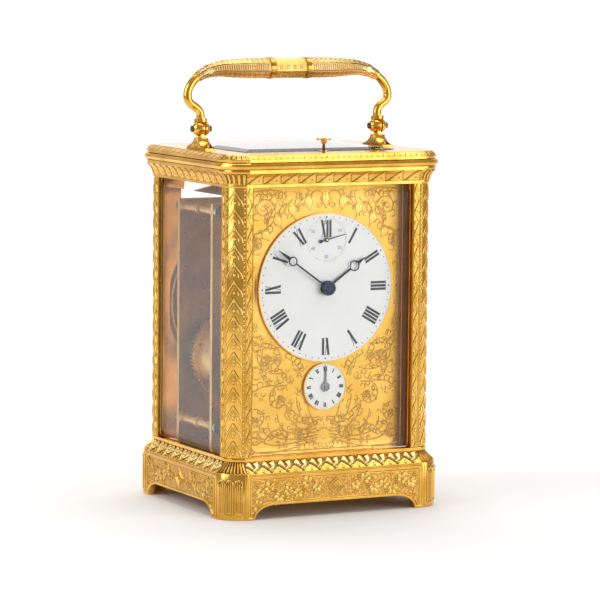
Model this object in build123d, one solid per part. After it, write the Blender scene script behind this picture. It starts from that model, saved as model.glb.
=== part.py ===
"""Carriage clock: glazed brass case, folding handle, rear door, dial, hands and a striking movement.

Millimetres. X is the width, -Y is the front, +Z is up. The origin is the centre of the base, at
the level of the surface that the clock stands on.
"""
from build123d import *
from math import atan2, cos, degrees, hypot, pi, radians, sin, sqrt
import os

# ---- Case ------------------------------------------------------------------------------------
BASE_HALF_WIDTH = 50.0
WIDTH_MINUS_DEPTH = 5.8          # every outline's half-width less its half-depth
CASE_HALF_WIDTH = 45.9           # over the pillars
CORNER_RADIUS = 6.2              # at the pillars; other outlines are concentric with these
CORNER_BULGE = 0.26              # rise of a corner's arc over its radius

PLINTH_TOP = 18.7
PLINTH_WALL = 3.2
FOOT_FLAT = 3.1                  # straight foot beside the rounded corner
ARCH_RUN = 9.0                   # quarter ellipse from the foot to the apron
ARCH_RISE = 5.6
PANEL_TOP = 16.9
PANEL_BORDER = 1.0
PANEL_DEPTH = 0.35
MOULDING_TOP = 24.5
FLOOR_BOTTOM = 21.5
CORNICE_BOTTOM = 133.6
CORNICE_TOP = 140.7
TOP = 146.8                      # flat top of the case
GLASS = 2.7                      # thickness of the side panes
BEVEL = 3.6                      # width of a pane's bevel
BEVEL_DEPTH = 0.9
GAP = 0.1                        # between a pane and its groove

INNER_OPENING = (34.0, 28.2)     # half sizes of the openings in the mouldings
PILLAR_INNER_X = 36.4
PILLAR_INNER_Y = 30.2
FRONT_PANE_Y = -39.0             # outer face
SIDE_PANE_X = 44.9               # outer face
TOP_PANE = (34.0, 27.0)          # half sizes
TOP_PANE_BOTTOM = 144.3
TOP_PANE_EDGE = 147.0
TOP_PANE_FACE = 147.8

# ---- Rear door -------------------------------------------------------------------------------
DOOR_HALF_WIDTH = 36.2
DOOR_BOTTOM = 24.7
DOOR_TOP = 133.4
DOOR_Y = (36.4, 39.8)
DOOR_FRAME = 5.0
HINGE_X = DOOR_HALF_WIDTH - (DOOR_Y[1] - DOOR_Y[0]) / 2
HINGE_Y = (DOOR_Y[0] + DOOR_Y[1]) / 2
HINGE_PIN = 0.6

# ---- Handle ----------------------------------------------------------------------------------
PIVOT_X = 40.9
PIVOT_Z = 155.1
HANDLE_LEAN = 7.0                # degrees back from upright
BALL = 3.1
CHEEK = 0.8                      # each half of a ball is centred this far from the pivot
LUG = 2.7
LUG_THICK = 1.8
ARM = 1.8                        # radius of the arms
GRIP_HEIGHT = 24.5               # grip's axis above the pivots
GRIP = 4.35                      # radius across the grip's corners
GRIP_STRAIGHT = 29.3                # half-length of the part of the handle's top that is straight
GRIP_CURVE = (17.0, 11.4)           # half-axes of the curve from there down to the arms
GRIP_END = 48.0                     # degrees round that curve at which the grips meet the arms

# ---- Repeat button ---------------------------------------------------------------------------
BUTTON_Y = -30.0
BUTTON_ROD = 0.6
BUTTON_ROD_BOTTOM = 136.8        # the rod sinks this far into the cornice at rest

# ---- Dials and hands -------------------------------------------------------------------------
MASK_Y = (-31.6, -30.2)
DIAL_Z = 91.5
DIAL = 30.2
DIAL_FACE = -32.5
DIAL_RING = (0.2, 0.5)              # how far each dial's rim stands forward of it, and its width
SECONDS_Z = 111.1
SECONDS_DIAL = 9.25
ALARM_Z = 50.9
ALARM_DIAL = 9.35
HOUR_ANGLE = 55.4                # clockwise from twelve
MINUTE_ANGLE = 305.5
SECONDS_ANGLE = 77.0
HAND_TIP = 0.75                  # half-width of the pointed tips where they leave the ring
HAND_RING_WALL = 0.45

# ---- Movement --------------------------------------------------------------------------------
FRONT_PLATE = (-12.4, -10.4)
BACK_PLATE = (19.3, 21.3)
PLATE_HALF_WIDTH = 39.8
PLATE_TOP = 125.2
MOVEMENT_PILLARS = [(x, z) for x in (-37.0, 37.0) for z in (33.5, 122.0)]
BARREL_X = 20.0
BARREL_Z = 60.0
PLATFORM_TOP = 126.6
PIVOT = 0.5                      # radius of the wheels' pivots
PLAY = 0.05                      # radial play of a pivot in its hole
ESCAPE_Y = 3.7
LEVER_Y = 9.6
BALANCE_Y = 15.5

# Teeth and modules of each wheel and pinion
GREAT = (70, 0.5)
GREAT_PINION = (12, 0.5)
SECOND = (72, 0.4)
CENTRE_PINION = (14, 0.4)
CENTRE = (80, 0.35)
THIRD_PINION = (10, 0.35)
THIRD = (75, 0.3)
FOURTH_PINION = (10, 0.3)
CONTRATE = (70, 0.3)
ESCAPE_PINION = (7, 0.3)
CANNON = (12, 0.3)
MINUTE_WHEEL = (36, 0.3)
MINUTE_PINION = (12, 0.24)
HOUR_WHEEL = (48, 0.24)
STRIKE_SECOND = (60, 0.4)
PIN_PINION = (10, 0.4)
PIN_WHEEL = (60, 0.35)
WARNING_PINION = (8, 0.35)
WARNING = (50, 0.3)
FLY_PINION = (7, 0.3)


# ---- Basic shapes ----------------------------------------------------------------------------
def block(x0, x1, y0, y1, z0, z1):
    """Box between two corners."""
    centre = Pos((x0 + x1) / 2, (y0 + y1) / 2, (z0 + z1) / 2)
    return centre * Box(x1 - x0, y1 - y0, z1 - z0)


def rod_x(y, z, x0, x1, r):
    """Round rod along X."""
    return Pos((x0 + x1) / 2, y, z) * Rot(0, 90, 0) * Cylinder(r, x1 - x0)


def rod_y(x, z, y0, y1, r):
    """Round rod along Y."""
    return Pos(x, (y0 + y1) / 2, z) * Rot(90, 0, 0) * Cylinder(r, y1 - y0)


def rod_z(x, y, z0, z1, r):
    """Round rod along Z."""
    return Pos(x, y, (z0 + z1) / 2) * Cylinder(r, z1 - z0)


def along_y(face, y0, y1):
    """Extrude a flat shape drawn in X and Z from y0 to y1."""
    return extrude(Plane.XZ.offset(-y1) * face, amount=y1 - y0)


def along_z(face, z0, z1):
    """Extrude a flat shape drawn in X and Y from z0 to z1."""
    return extrude(Plane.XY.offset(z0) * face, amount=z1 - z0)


def shape(points):
    """Flat face with straight edges through the points."""
    return make_face(Polyline(*points, close=True))


def outline(half_width, z):
    """Plan of the case at one level: a rectangle whose bowed corners stay concentric."""
    a = half_width
    b = a - WIDTH_MINUS_DEPTH
    r = CORNER_RADIUS + a - CASE_HALF_WIDTH
    rise = r / 2 - CORNER_BULGE * r / sqrt(2)
    edges = []
    corners = ((1, -1), (1, 1), (-1, 1), (-1, -1))
    for i, (sx, sy) in enumerate(corners):
        beside_x = (sx * (a - r), sy * b)
        beside_y = (sx * a, sy * (b - r))
        middle = (sx * (a - rise), sy * (b - rise))
        first, last = (beside_x, beside_y) if sx * sy < 0 else (beside_y, beside_x)
        edges.append(ThreePointArc(first, middle, last))
        nx, ny = corners[(i + 1) % 4]
        following = (nx * (a - r), ny * b) if nx * ny < 0 else (nx * a, ny * (b - r))
        edges.append(Line(last, following))
    return Pos(0, 0, z) * make_face(edges)


def prism(half_width, z0, z1):
    """Straight-sided slice of the case."""
    return extrude(outline(half_width, z0), amount=z1 - z0)


def moulding(stations):
    """Run of moulding through (half-width, level) stations."""
    return loft([outline(a, z) for a, z in stations], ruled=True)


def bevelled_pane(width, height, thickness):
    """Pane lying flat, centred, from z = 0 up to its bevelled face."""
    edge = thickness - BEVEL_DEPTH
    body = Pos(0, 0, edge / 2) * Box(width, height, edge)
    low = Pos(0, 0, edge) * Rectangle(width, height)
    high = Pos(0, 0, thickness) * Rectangle(width - 2 * BEVEL, height - 2 * BEVEL)
    return body + loft([low, high], ruled=True)


# ---- Gears -----------------------------------------------------------------------------------
def pitch_radius(gear):
    return gear[0] * gear[1] / 2


def between(first, second):
    """Distance between the axes of two meshed gears."""
    return pitch_radius(first) + pitch_radius(second)


def gear_face(gear, phase=0.0, leaf=False):
    """Toothed outline; phase is the angle in degrees of one tooth's middle."""
    teeth, module = gear
    rp = pitch_radius(gear)
    pitch = 2 * pi / teeth
    add, ded = (0.75, 1.35) if leaf else (0.95, 1.15)
    root_share, pitch_share, tip_share = (0.36, 0.34, 0.12) if leaf else (0.50, 0.40, 0.14)
    points = []
    for i in range(teeth):
        middle = radians(phase) + i * pitch
        flank = (
            (rp - ded * module, root_share),
            (rp, pitch_share),
            (rp + add * module, tip_share),
        )
        for r, share in flank:
            angle = middle - share * pitch / 2
            points.append((r * cos(angle), r * sin(angle)))
        for r, share in reversed(flank):
            angle = middle + share * pitch / 2
            points.append((r * cos(angle), r * sin(angle)))
    return shape(points)


def meshed_phase(gear, phase, other, direction):
    """Phase of the second gear that puts its gap at the first gear's tooth, in degrees.

    direction is the angle from the first gear's axis to the second's.
    """
    share = gear[0] / other[0]
    return direction + 180 + 180 / other[0] - (phase - direction) * share


def wheel_face(gear, phase, hub, spokes=5, spoke=1.3):
    """Gear with a rim, a hub and crossings."""
    rim = pitch_radius(gear) - 1.15 * gear[1] - 1.3
    window = Circle(rim) - Circle(hub)
    for i in range(spokes):
        arm = Pos(rim / 2, 0) * Rectangle(rim, spoke)
        window -= Rot(0, 0, phase + 360 * i / spokes) * arm
    return gear_face(gear, phase) - window


def bearing(start, target):
    """Angle in degrees of the line from one axis to another, in X and Z."""
    return degrees(atan2(target[1] - start[1], target[0] - start[0]))


def meeting_axis(first, r1, second, r2, side):
    """Axis at r1 from the first axis and r2 from the second, on the chosen side."""
    dx, dz = second[0] - first[0], second[1] - first[1]
    d = hypot(dx, dz)
    along = (r1 * r1 - r2 * r2 + d * d) / (2 * d)
    off = side * sqrt(r1 * r1 - along * along)
    return (first[0] + (dx * along - dz * off) / d, first[1] + (dz * along + dx * off) / d)


def from_axis(start, distance, angle):
    """Axis at a distance and angle from another one."""
    a = radians(angle)
    return (start[0] + distance * cos(a), start[1] + distance * sin(a))


def gear_at(gear, phase, axis, y0, y1, leaf=False):
    """Solid pinion on an axis along Y."""
    return along_y(Pos(axis[0], axis[1]) * gear_face(gear, phase, leaf), y0, y1)


def wheel_at(gear, phase, axis, y0, y1, hub, spokes=5, spoke=1.3):
    """Crossed-out wheel on an axis along Y."""
    return along_y(Pos(axis[0], axis[1]) * wheel_face(gear, phase, hub, spokes, spoke), y0, y1)


def arbor(axis, r):
    """Arbor between the plates with a pivot in each plate."""
    x, z = axis
    shoulder = 0.3
    body = rod_y(x, z, FRONT_PLATE[1] + shoulder, BACK_PLATE[0] - shoulder, r)
    return body + rod_y(x, z, FRONT_PLATE[0] + 0.3, BACK_PLATE[1] - 0.3, PIVOT)


# ---- Axes of the trains, as (x, z) -----------------------------------------------------------
CENTRE_AXIS = (0.0, DIAL_Z)
FOURTH_AXIS = (0.0, SECONDS_Z)
ALARM_AXIS = (0.0, ALARM_Z)
GOING_AXIS = (-BARREL_X, BARREL_Z)
STRIKE_AXIS = (BARREL_X, BARREL_Z)
SECOND_AXIS = meeting_axis(
    GOING_AXIS, between(GREAT, GREAT_PINION), CENTRE_AXIS, between(SECOND, CENTRE_PINION), 1
)
THIRD_AXIS = meeting_axis(
    CENTRE_AXIS, between(CENTRE, THIRD_PINION), FOURTH_AXIS, between(THIRD, FOURTH_PINION), 1
)
MINUTE_AXIS = from_axis(CENTRE_AXIS, between(CANNON, MINUTE_WHEEL), 215)
STRIKE_SECOND_AXIS = from_axis(STRIKE_AXIS, between(GREAT, GREAT_PINION), 75)
PIN_AXIS = from_axis(STRIKE_SECOND_AXIS, between(STRIKE_SECOND, PIN_PINION), 100)
WARNING_AXIS = from_axis(PIN_AXIS, between(PIN_WHEEL, WARNING_PINION), 80)
FLY_AXIS = from_axis(WARNING_AXIS, between(WARNING, FLY_PINION), 110)

# ---- Levels of the trains along Y ------------------------------------------------------------
GREAT_Y = (10.7, 12.3)
SECOND_WHEEL_Y = (14.2, 15.4)
CENTRE_WHEEL_Y = (5.5, 6.7)
THIRD_WHEEL_Y = (-4.2, -3.2)
CONTRATE_Y = (1.0, 2.2)
CONTRATE_TIP = 2.9
PIN_WHEEL_Y = (8.8, 9.8)
WARNING_Y = (1.5, 2.4)
MOTION_Y = (-15.6, -14.6)        # cannon pinion and minute wheel
HOUR_WHEEL_Y = (-17.6, -16.6)


# ---- Case parts ------------------------------------------------------------------------------
def tie_bolt_places():
    return [(sx * 41.0, sy * 37.7) for sx in (-1, 1) for sy in (-1, 1)]


def base_plinth():
    """Hollow plinth on bracket feet, with a sunk panel above the arch in each side."""
    a = BASE_HALF_WIDTH
    r = CORNER_RADIUS + a - CASE_HALF_WIDTH
    body = prism(a, 0, PLINTH_TOP) - prism(a - PLINTH_WALL, -1, PLINTH_TOP + 1)
    for half, depth, turn in ((a, a - WIDTH_MINUS_DEPTH, 0), (a - WIDTH_MINUS_DEPTH, a, 90)):
        flat = half - r
        straight = flat - FOOT_FLAT - ARCH_RUN
        arch = arch_face(straight, 0)
        body -= Rot(0, 0, turn) * along_y(arch, -2 * a, 2 * a)
        panel = Pos(0, PANEL_TOP / 2) * Rectangle(2 * flat, PANEL_TOP)
        panel -= arch_face(straight, PANEL_BORDER) + Rectangle(4 * flat, 2 * PANEL_BORDER)
        for side in (0, 180):
            sunk = along_y(panel, depth - PANEL_DEPTH, depth + 1)
            body -= Rot(0, 0, turn + side) * sunk
    return body


def arch_face(straight, border):
    """Opening between two feet: straight apron and a quarter ellipse at each end."""
    face = Rectangle(2 * straight, 2 * (ARCH_RISE + border))
    for side in (-1, 1):
        face += Pos(side * straight, 0) * Ellipse(ARCH_RUN + border, ARCH_RISE + border)
    return face


def base_moulding():
    """Concave moulding under the pillars, with a ledge inside for the floor."""
    body = moulding([(49.6, PLINTH_TOP), (48.1, 20.0), (46.6, 21.4), (45.8, 22.5), (45.5, 23.3)])
    body += prism(46.3, 23.3, MOULDING_TOP)
    x, y = INNER_OPENING
    body -= block(-x, x, -y, y, PLINTH_TOP - 1, MOULDING_TOP + 1)
    body -= prism(41.6, FLOOR_BOTTOM, MOULDING_TOP + 1)
    body -= rod_z(HINGE_X, HINGE_Y, 22.4, MOULDING_TOP + 1, HINGE_PIN + PLAY)
    for bx, by in tie_bolt_places():
        body -= rod_z(bx, by, PLINTH_TOP - 1, MOULDING_TOP + 1, 1.25)
    return body


def movement_screw_places():
    plates = [(y0 + y1) / 2 for y0, y1 in (FRONT_PLATE, BACK_PLATE)]
    return [(x, y) for x in (-28.0, 28.0) for y in plates]


def floor_plate():
    body = prism(41.5, FLOOR_BOTTOM, MOULDING_TOP)
    for x, y in movement_screw_places():
        body -= rod_z(x, y, FLOOR_BOTTOM - 1, MOULDING_TOP + 1, 0.75)
    return body


def pillar(sx, sy):
    """Corner pillar with a groove for each pane; the rear pillars have no groove for the door."""
    a, b, r = CASE_HALF_WIDTH, CASE_HALF_WIDTH - WIDTH_MINUS_DEPTH, CORNER_RADIUS
    rise = r / 2 - CORNER_BULGE * r / sqrt(2)
    edges = [
        Line((PILLAR_INNER_X, b), (a - r, b)),
        ThreePointArc((a - r, b), (a - rise, b - rise), (a, b - r)),
        Polyline((a, b - r), (a, PILLAR_INNER_Y), (41.2, PILLAR_INNER_Y), (41.2, 35.4),
                 (PILLAR_INNER_X, 35.4), (PILLAR_INNER_X, b)),
    ]
    section = make_face(edges)
    side = SIDE_PANE_X - GLASS / 2
    section -= Pos(side, PILLAR_INNER_Y) * Rectangle(GLASS + 2 * GAP, 2 * (1.8 + GAP))
    if sy < 0:
        front = -FRONT_PANE_Y - GLASS / 2
        section -= Pos(PILLAR_INNER_X, front) * Rectangle(2 * (1.8 + GAP), GLASS + 2 * GAP)
    body = along_z(section, MOULDING_TOP, CORNICE_BOTTOM)
    body -= rod_z(41.0, 37.7, MOULDING_TOP - 1, CORNICE_BOTTOM + 1, 1.25)
    if sx < 0:
        body = mirror(body, about=Plane.YZ)
    if sy < 0:
        body = mirror(body, about=Plane.XZ)
    return body


def cornice():
    """Moulding over the pillars: fillet, cove and fillet."""
    body = prism(46.5, CORNICE_BOTTOM, 134.7)
    body += moulding([(46.3, 134.7), (46.6, 136.2), (47.4, 137.8), (48.9, 139.3)])
    body += prism(49.0, 139.3, 140.6)
    body += prism(48.4, 140.6, CORNICE_TOP)
    x, y = INNER_OPENING
    body -= block(-x, x, -y, y, CORNICE_BOTTOM - 1, CORNICE_TOP + 1)
    body -= rod_z(HINGE_X, HINGE_Y, CORNICE_BOTTOM - 1, 135.9, HINGE_PIN + PLAY)
    body -= rod_z(0, BUTTON_Y, CORNICE_BOTTOM - 1, CORNICE_TOP + 1, BUTTON_ROD + 0.2)
    for bx, by in tie_bolt_places():
        body -= rod_z(bx, by, CORNICE_BOTTOM - 1, CORNICE_TOP + 1, 1.25)
    return body


def top_frame():
    """Top of the case: half-round edge, groove, fillet and chamfer round the top pane."""
    body = moulding([(48.9, CORNICE_TOP), (49.8, 141.2), (50.2, 142.2), (49.8, 143.2), (48.9, 143.7)])
    body += prism(48.5, 143.7, 144.1)
    body += prism(49.1, 144.1, 144.9)
    body += moulding([(49.1, 144.9), (47.0, TOP)])
    x, y = TOP_PANE
    body -= block(-x + 2, x - 2, -y + 2, y - 2, CORNICE_TOP - 1, TOP + 1)
    body -= block(-x - GAP, x + GAP, -y - GAP, y + GAP, TOP_PANE_BOTTOM, TOP + 1)
    body -= rod_z(0, BUTTON_Y, CORNICE_TOP - 1, TOP + 1, 1.7)
    for bx, by in tie_bolt_places():
        body -= rod_z(bx, by, CORNICE_TOP - 1, 144.0, 1.25)
    return body


def top_glass():
    x, y = TOP_PANE
    edge = TOP_PANE_EDGE - TOP_PANE_BOTTOM
    body = Pos(0, 0, TOP_PANE_BOTTOM + edge / 2) * Box(2 * x, 2 * y, edge)
    low = Pos(0, 0, TOP_PANE_EDGE) * Rectangle(2 * x, 2 * y)
    high = Pos(0, 0, TOP_PANE_FACE) * Rectangle(2 * x - 8, 2 * y - 8)
    return body + loft([low, high], ruled=True)


def front_glass():
    height = CORNICE_BOTTOM - MOULDING_TOP - 0.2
    pane = bevelled_pane(2 * (PILLAR_INNER_X + 1.8), height, GLASS)
    middle = (CORNICE_BOTTOM + MOULDING_TOP) / 2
    return Pos(0, FRONT_PANE_Y + GLASS, middle) * Rot(90, 0, 0) * pane


def side_glass(side):
    height = CORNICE_BOTTOM - MOULDING_TOP - 0.2
    pane = bevelled_pane(height, 2 * (PILLAR_INNER_Y + 1.8), GLASS)
    middle = (CORNICE_BOTTOM + MOULDING_TOP) / 2
    return Pos(side * (SIDE_PANE_X - GLASS), 0, middle) * Rot(0, side * 90, 0) * pane


def tie_bolt(x, y):
    """Long bolt from under the base through a pillar into the top frame."""
    head = rod_z(x, y, PLINTH_TOP - 1.5, PLINTH_TOP, 2.4)
    slot = Pos(x, y, PLINTH_TOP - 1.5) * Box(6, 0.7, 1.0)
    return head + rod_z(x, y, PLINTH_TOP, 143.5, 1.2) - slot


def screw(x, y, z_seat, length, r, up=True):
    """Cheese-headed screw; its shank runs up or down from the seat."""
    way = 1 if up else -1
    head_far = z_seat - way * 1.0
    head = rod_z(x, y, min(z_seat, head_far), max(z_seat, head_far), 1.9 * r)
    end = z_seat + way * length
    shank = rod_z(x, y, min(z_seat, end), max(z_seat, end), r)
    slot = Pos(x, y, head_far) * Box(5 * r, 0.35, 0.7)
    return head + shank - slot


def screws():
    """Tie bolts of the case, and the screws of the movement and of its platform."""
    pieces = [tie_bolt(x, y) for x, y in tie_bolt_places()]
    pieces += [screw(x, y, FLOOR_BOTTOM, 8.0, 0.7) for x, y in movement_screw_places()]
    pieces += [screw(x, y, PLATFORM_TOP, 4.5, 0.6, up=False) for x, y in platform_screw_places()]
    return Compound(children=pieces)


# ---- Handle ----------------------------------------------------------------------------------
def handle_pedestals():
    """Flared feet with a lug for the handle's pivots."""
    feet = []
    rise = PIVOT_Z - TOP
    for side in (-1, 1):
        half = shape_with_flare()
        foot = Pos(side * PIVOT_X, 0, TOP) * extrude(Plane.YZ * half, amount=2.4, both=True)
        neck = block(-LUG_THICK / 2, LUG_THICK / 2, -1.7, 1.7, 4.5, rise)
        lug = rod_x(0, rise, -LUG_THICK / 2, LUG_THICK / 2, LUG)
        hole = rod_x(0, rise, -3, 3, 0.7 + PLAY)
        feet.append(foot + Pos(side * PIVOT_X, 0, TOP) * (neck + lug) - Pos(side * PIVOT_X, 0, TOP) * hole)
    return Compound(children=feet)


def shape_with_flare():
    """Side view of a pedestal: wide foot sweeping up in two concave curves to a narrow top."""
    foot, step, top, height = 9.0, 0.7, 1.9, 4.8
    right = ThreePointArc((foot, step), (foot * 0.42, height * 0.42), (top, height))
    left = ThreePointArc((-top, height), (-foot * 0.42, height * 0.42), (-foot, step))
    return make_face([
        Polyline((-foot, step), (-foot, 0), (foot, 0), (foot, step)),
        right,
        Line((top, height), (-top, height)),
        left,
    ])


def lean(body):
    """Set a handle part, drawn upright about its pivots at z = 0, in its rest pose."""
    return Pos(0, 0, PIVOT_Z) * Rot(-HANDLE_LEAN, 0, 0) * body


def handle_axis(angle):
    """Point on the curve at the handle's right-hand end, and the direction the curve runs there."""
    a = radians(angle)
    wide, deep = GRIP_CURVE
    place = Vector(GRIP_STRAIGHT + wide * sin(a), 0, GRIP_HEIGHT - deep * (1 - cos(a)))
    return place, Vector(wide * cos(a), 0, -deep * sin(a))


def handle_arm(side):
    """Arm with a slotted ball over the lug and a bowed neck that turns in to the grip."""
    ball = block(PIVOT_X - CHEEK, PIVOT_X + CHEEK, -0.1, 0.1, 2.0, 2.1)
    for way in (-1, 1):
        cheek = Pos(PIVOT_X + way * CHEEK, 0, 0) * Sphere(BALL)
        far = PIVOT_X - way * 2 * BALL
        ends = sorted((PIVOT_X, far))
        ball += cheek - block(*ends, -BALL, BALL, -BALL, BALL)
    collar = rod_z(PIVOT_X, 0, 2.6, 4.1, 2.75)
    outer = GRIP_STRAIGHT + GRIP_CURVE[0]
    shoulder = (outer, 0, GRIP_HEIGHT - GRIP_CURVE[1])
    stem = Line((PIVOT_X, 0, 3.0), (PIVOT_X, 0, 5.0))
    bow = Spline(
        (PIVOT_X, 0, 5.0), (PIVOT_X + 2.7, 0, 9.3), shoulder,
        tangents=((0, 0, 1), (0, 0, 1)),
    )
    places = [handle_axis(angle) for angle in (90, 75, 62, GRIP_END)]
    over = Spline(*[place for place, _ in places], tangents=[-places[0][1], -places[-1][1]])
    path = stem + bow + over
    section = Plane(origin=(PIVOT_X, 0, 3.0), z_dir=(0, 0, 1)) * Circle(ARM)
    body = ball + collar + sweep(section, path=path)
    slot = rod_x(0, 0, PIVOT_X - 1.0, PIVOT_X + 1.0, LUG + 0.12)
    slot += block(PIVOT_X - 1.0, PIVOT_X + 1.0, -4, 4, -4, 1.95)
    body -= slot
    body -= rod_x(0, 0, PIVOT_X - 6, PIVOT_X + 6, 0.7)
    for way in (-1, 1):
        seat = PIVOT_X + way * (BALL + CHEEK - 0.2)
        body -= rod_x(0, 0, *sorted((seat, seat + way)), 1.3)
    body = lean(body)
    return body if side > 0 else mirror(body, about=Plane.YZ)


def octagon(place, along, r):
    """Octagon across the grip at one place along it, r across corners."""
    plane = Plane(origin=place, x_dir=(0, 1, 0), z_dir=along)
    return plane * Rot(0, 0, 22.5) * RegularPolygon(r, 8)


def handle_grips():
    """Faceted centre piece and two tapered side pieces whose ends curve down to the arms."""
    straight = ((9.3, 1.0), (18.0, 0.98), (24.0, 0.91), (GRIP_STRAIGHT, 0.81))
    curved = ((8, 0.76), (16, 0.70), (24, 0.64), (32, 0.58), (40, 0.53), (GRIP_END, 0.49))

    def across(x, share=1.0):
        return octagon((x, 0, GRIP_HEIGHT), (1, 0, 0), GRIP * share)
    sections = [across(x, share) for x, share in straight]
    sections += [octagon(*handle_axis(angle), GRIP * share) for angle, share in curved]
    centre = loft([across(-7.4), across(7.4)], ruled=True)
    right = loft(sections, ruled=True)
    left = mirror(right, about=Plane.YZ)
    return Compound(children=[lean(piece) for piece in (left, centre, right)])


def grip_rings():
    rings = []
    for side in (-1, 1):
        ring = rod_x(0, GRIP_HEIGHT, side * 8.35 - 0.95, side * 8.35 + 0.95, GRIP + 0.15)
        rings.append(lean(ring))
    return Compound(children=rings)


def handle_screws():
    """Pivot screws through the arms' slotted balls."""
    pieces = []
    for side in (-1, 1):
        x = side * PIVOT_X
        reach = BALL + CHEEK
        pin = rod_x(0, 0, x - reach - 0.1, x + reach + 0.1, 0.7)
        for way in (-1, 1):
            seat = x + way * (reach + 0.1)
            pin += rod_x(0, 0, seat - 0.3, seat + 0.3, 1.3)
        pieces.append(lean(pin))
    return Compound(children=pieces)


# ---- Repeat button ---------------------------------------------------------------------------
def button_bush():
    body = rod_z(0, BUTTON_Y, CORNICE_TOP + 0.5, TOP, 1.7) + rod_z(0, BUTTON_Y, TOP, TOP + 0.3, 2.1)
    return body - rod_z(0, BUTTON_Y, CORNICE_TOP - 1, TOP + 1, BUTTON_ROD + PLAY)


def repeat_button():
    body = rod_z(0, BUTTON_Y, BUTTON_ROD_BOTTOM, 151.4, BUTTON_ROD)
    body += Pos(0, BUTTON_Y, 151.0) * Sphere(1.25)
    return body + rod_z(0, BUTTON_Y, 151.5, 152.2, 3.0)


# ---- Rear door -------------------------------------------------------------------------------
def rear_door_frame():
    y0, y1 = DOOR_Y
    w = DOOR_HALF_WIDTH
    body = block(-w, HINGE_X, y0, y1, DOOR_BOTTOM, DOOR_TOP)
    body += rod_z(HINGE_X, HINGE_Y, DOOR_BOTTOM, DOOR_TOP, (y1 - y0) / 2)
    inner = w - DOOR_FRAME
    body -= block(-inner, inner, y0 - 1, y1 + 1, DOOR_BOTTOM + DOOR_FRAME, DOOR_TOP - DOOR_FRAME)
    groove = 1.2
    body -= block(-inner - groove, inner + groove, y0 + 0.6, y1 - 0.6,
                  DOOR_BOTTOM + DOOR_FRAME - groove, DOOR_TOP - DOOR_FRAME + groove)
    body -= rod_z(HINGE_X, HINGE_Y, DOOR_BOTTOM - 1, DOOR_BOTTOM + 3, HINGE_PIN)
    return body - rod_z(HINGE_X, HINGE_Y, DOOR_TOP - 3, DOOR_TOP + 1, HINGE_PIN)


def rear_door_glass():
    inner = DOOR_HALF_WIDTH - DOOR_FRAME + 1.1
    height = DOOR_TOP - DOOR_BOTTOM - 2 * DOOR_FRAME + 2.2
    pane = bevelled_pane(2 * inner, height, DOOR_Y[1] - DOOR_Y[0] - 1.3)
    return Pos(0, DOOR_Y[0] + 0.65, (DOOR_TOP + DOOR_BOTTOM) / 2) * Rot(-90, 0, 0) * pane


def door_hinge_pins():
    low = rod_z(HINGE_X, HINGE_Y, 22.7, DOOR_BOTTOM + 3, HINGE_PIN)
    high = rod_z(HINGE_X, HINGE_Y, DOOR_TOP - 3, 135.6, HINGE_PIN)
    return Compound(children=[low, high])


def door_knob():
    x, z = 2.5 - DOOR_HALF_WIDTH, 80.0
    y = DOOR_Y[1]
    return rod_y(x, z, y, y + 1.6, 0.9) + rod_y(x, z, y + 1.6, y + 3.2, 1.9)


# ---- Dials -----------------------------------------------------------------------------------
DIAL_FEET = [(x, z) for x in (-33.0, 33.0) for z in (42.0, 112.0)]


def dial_mask():
    """Gilt plate round the dials, with a thin raised ring for each and four feet behind."""
    y0, y1 = MASK_Y
    body = block(-40.6, 40.6, y0, y1, MOULDING_TOP + 0.2, CORNICE_BOTTOM - 0.2)
    body -= rod_y(0, DIAL_Z, y0 - 1, y1 + 1, DIAL - 3)
    body -= rod_y(0, ALARM_Z, y0 - 1, y1 + 1, ALARM_DIAL - 2)
    for z, r in ((DIAL_Z, DIAL), (ALARM_Z, ALARM_DIAL)):
        body += rod_y(0, z, DIAL_FACE - DIAL_RING[0], y0, r + DIAL_RING[1])
        body -= rod_y(0, z, DIAL_FACE - 1, y0, r + 0.02)
    for x, z in DIAL_FEET:
        body += rod_y(x, z, y1, FRONT_PLATE[0], 1.8)
        body += rod_y(x, z, FRONT_PLATE[0], FRONT_PLATE[1] + 0.6, 1.0)
    return body


def main_dial():
    """White enamel dial with a sunk seconds dial."""
    body = rod_y(0, DIAL_Z, DIAL_FACE, MASK_Y[0], DIAL)
    body -= rod_y(0, SECONDS_Z, DIAL_FACE - 1, DIAL_FACE + 0.15, SECONDS_DIAL)
    body -= rod_y(0, DIAL_Z, DIAL_FACE - 1, MASK_Y[0] + 1, 2.3)
    return body - rod_y(0, SECONDS_Z, DIAL_FACE - 1, MASK_Y[0] + 1, 0.8)


def alarm_dial():
    body = rod_y(0, ALARM_Z, DIAL_FACE, MASK_Y[0], ALARM_DIAL)
    return body - rod_y(0, ALARM_Z, DIAL_FACE - 1, MASK_Y[0] + 1, 0.8)


# ---- Hands -----------------------------------------------------------------------------------
def hand_at(z, angle, face):
    """Place a hand, drawn pointing up from its axis, on the dial."""
    return Pos(0, z) * Rot(0, 0, -angle) * face


def breguet(length, ring_at, ring, boss, hole, wide, narrow):
    """Hand with a boss, a slim tapered stem, an open moon ring and a pointed tip."""
    face = Circle(boss)
    face += shape([(-wide / 2, 0), (wide / 2, 0), (narrow / 2, ring_at), (-narrow / 2, ring_at)])
    face += Pos(0, ring_at) * Circle(ring)
    point = ring_at + ring * 0.9
    face += shape([(-HAND_TIP, point), (HAND_TIP, point), (0.08, length), (-0.08, length)])
    face -= Pos(0, ring_at - 0.08) * Circle(ring - HAND_RING_WALL)
    return face - Circle(hole)


def hour_hand():
    face = breguet(20.9, 15.2, 2.25, 3.0, 1.95, 1.0, 0.6)
    return along_y(hand_at(DIAL_Z, HOUR_ANGLE, face), -33.7, -33.4)


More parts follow.
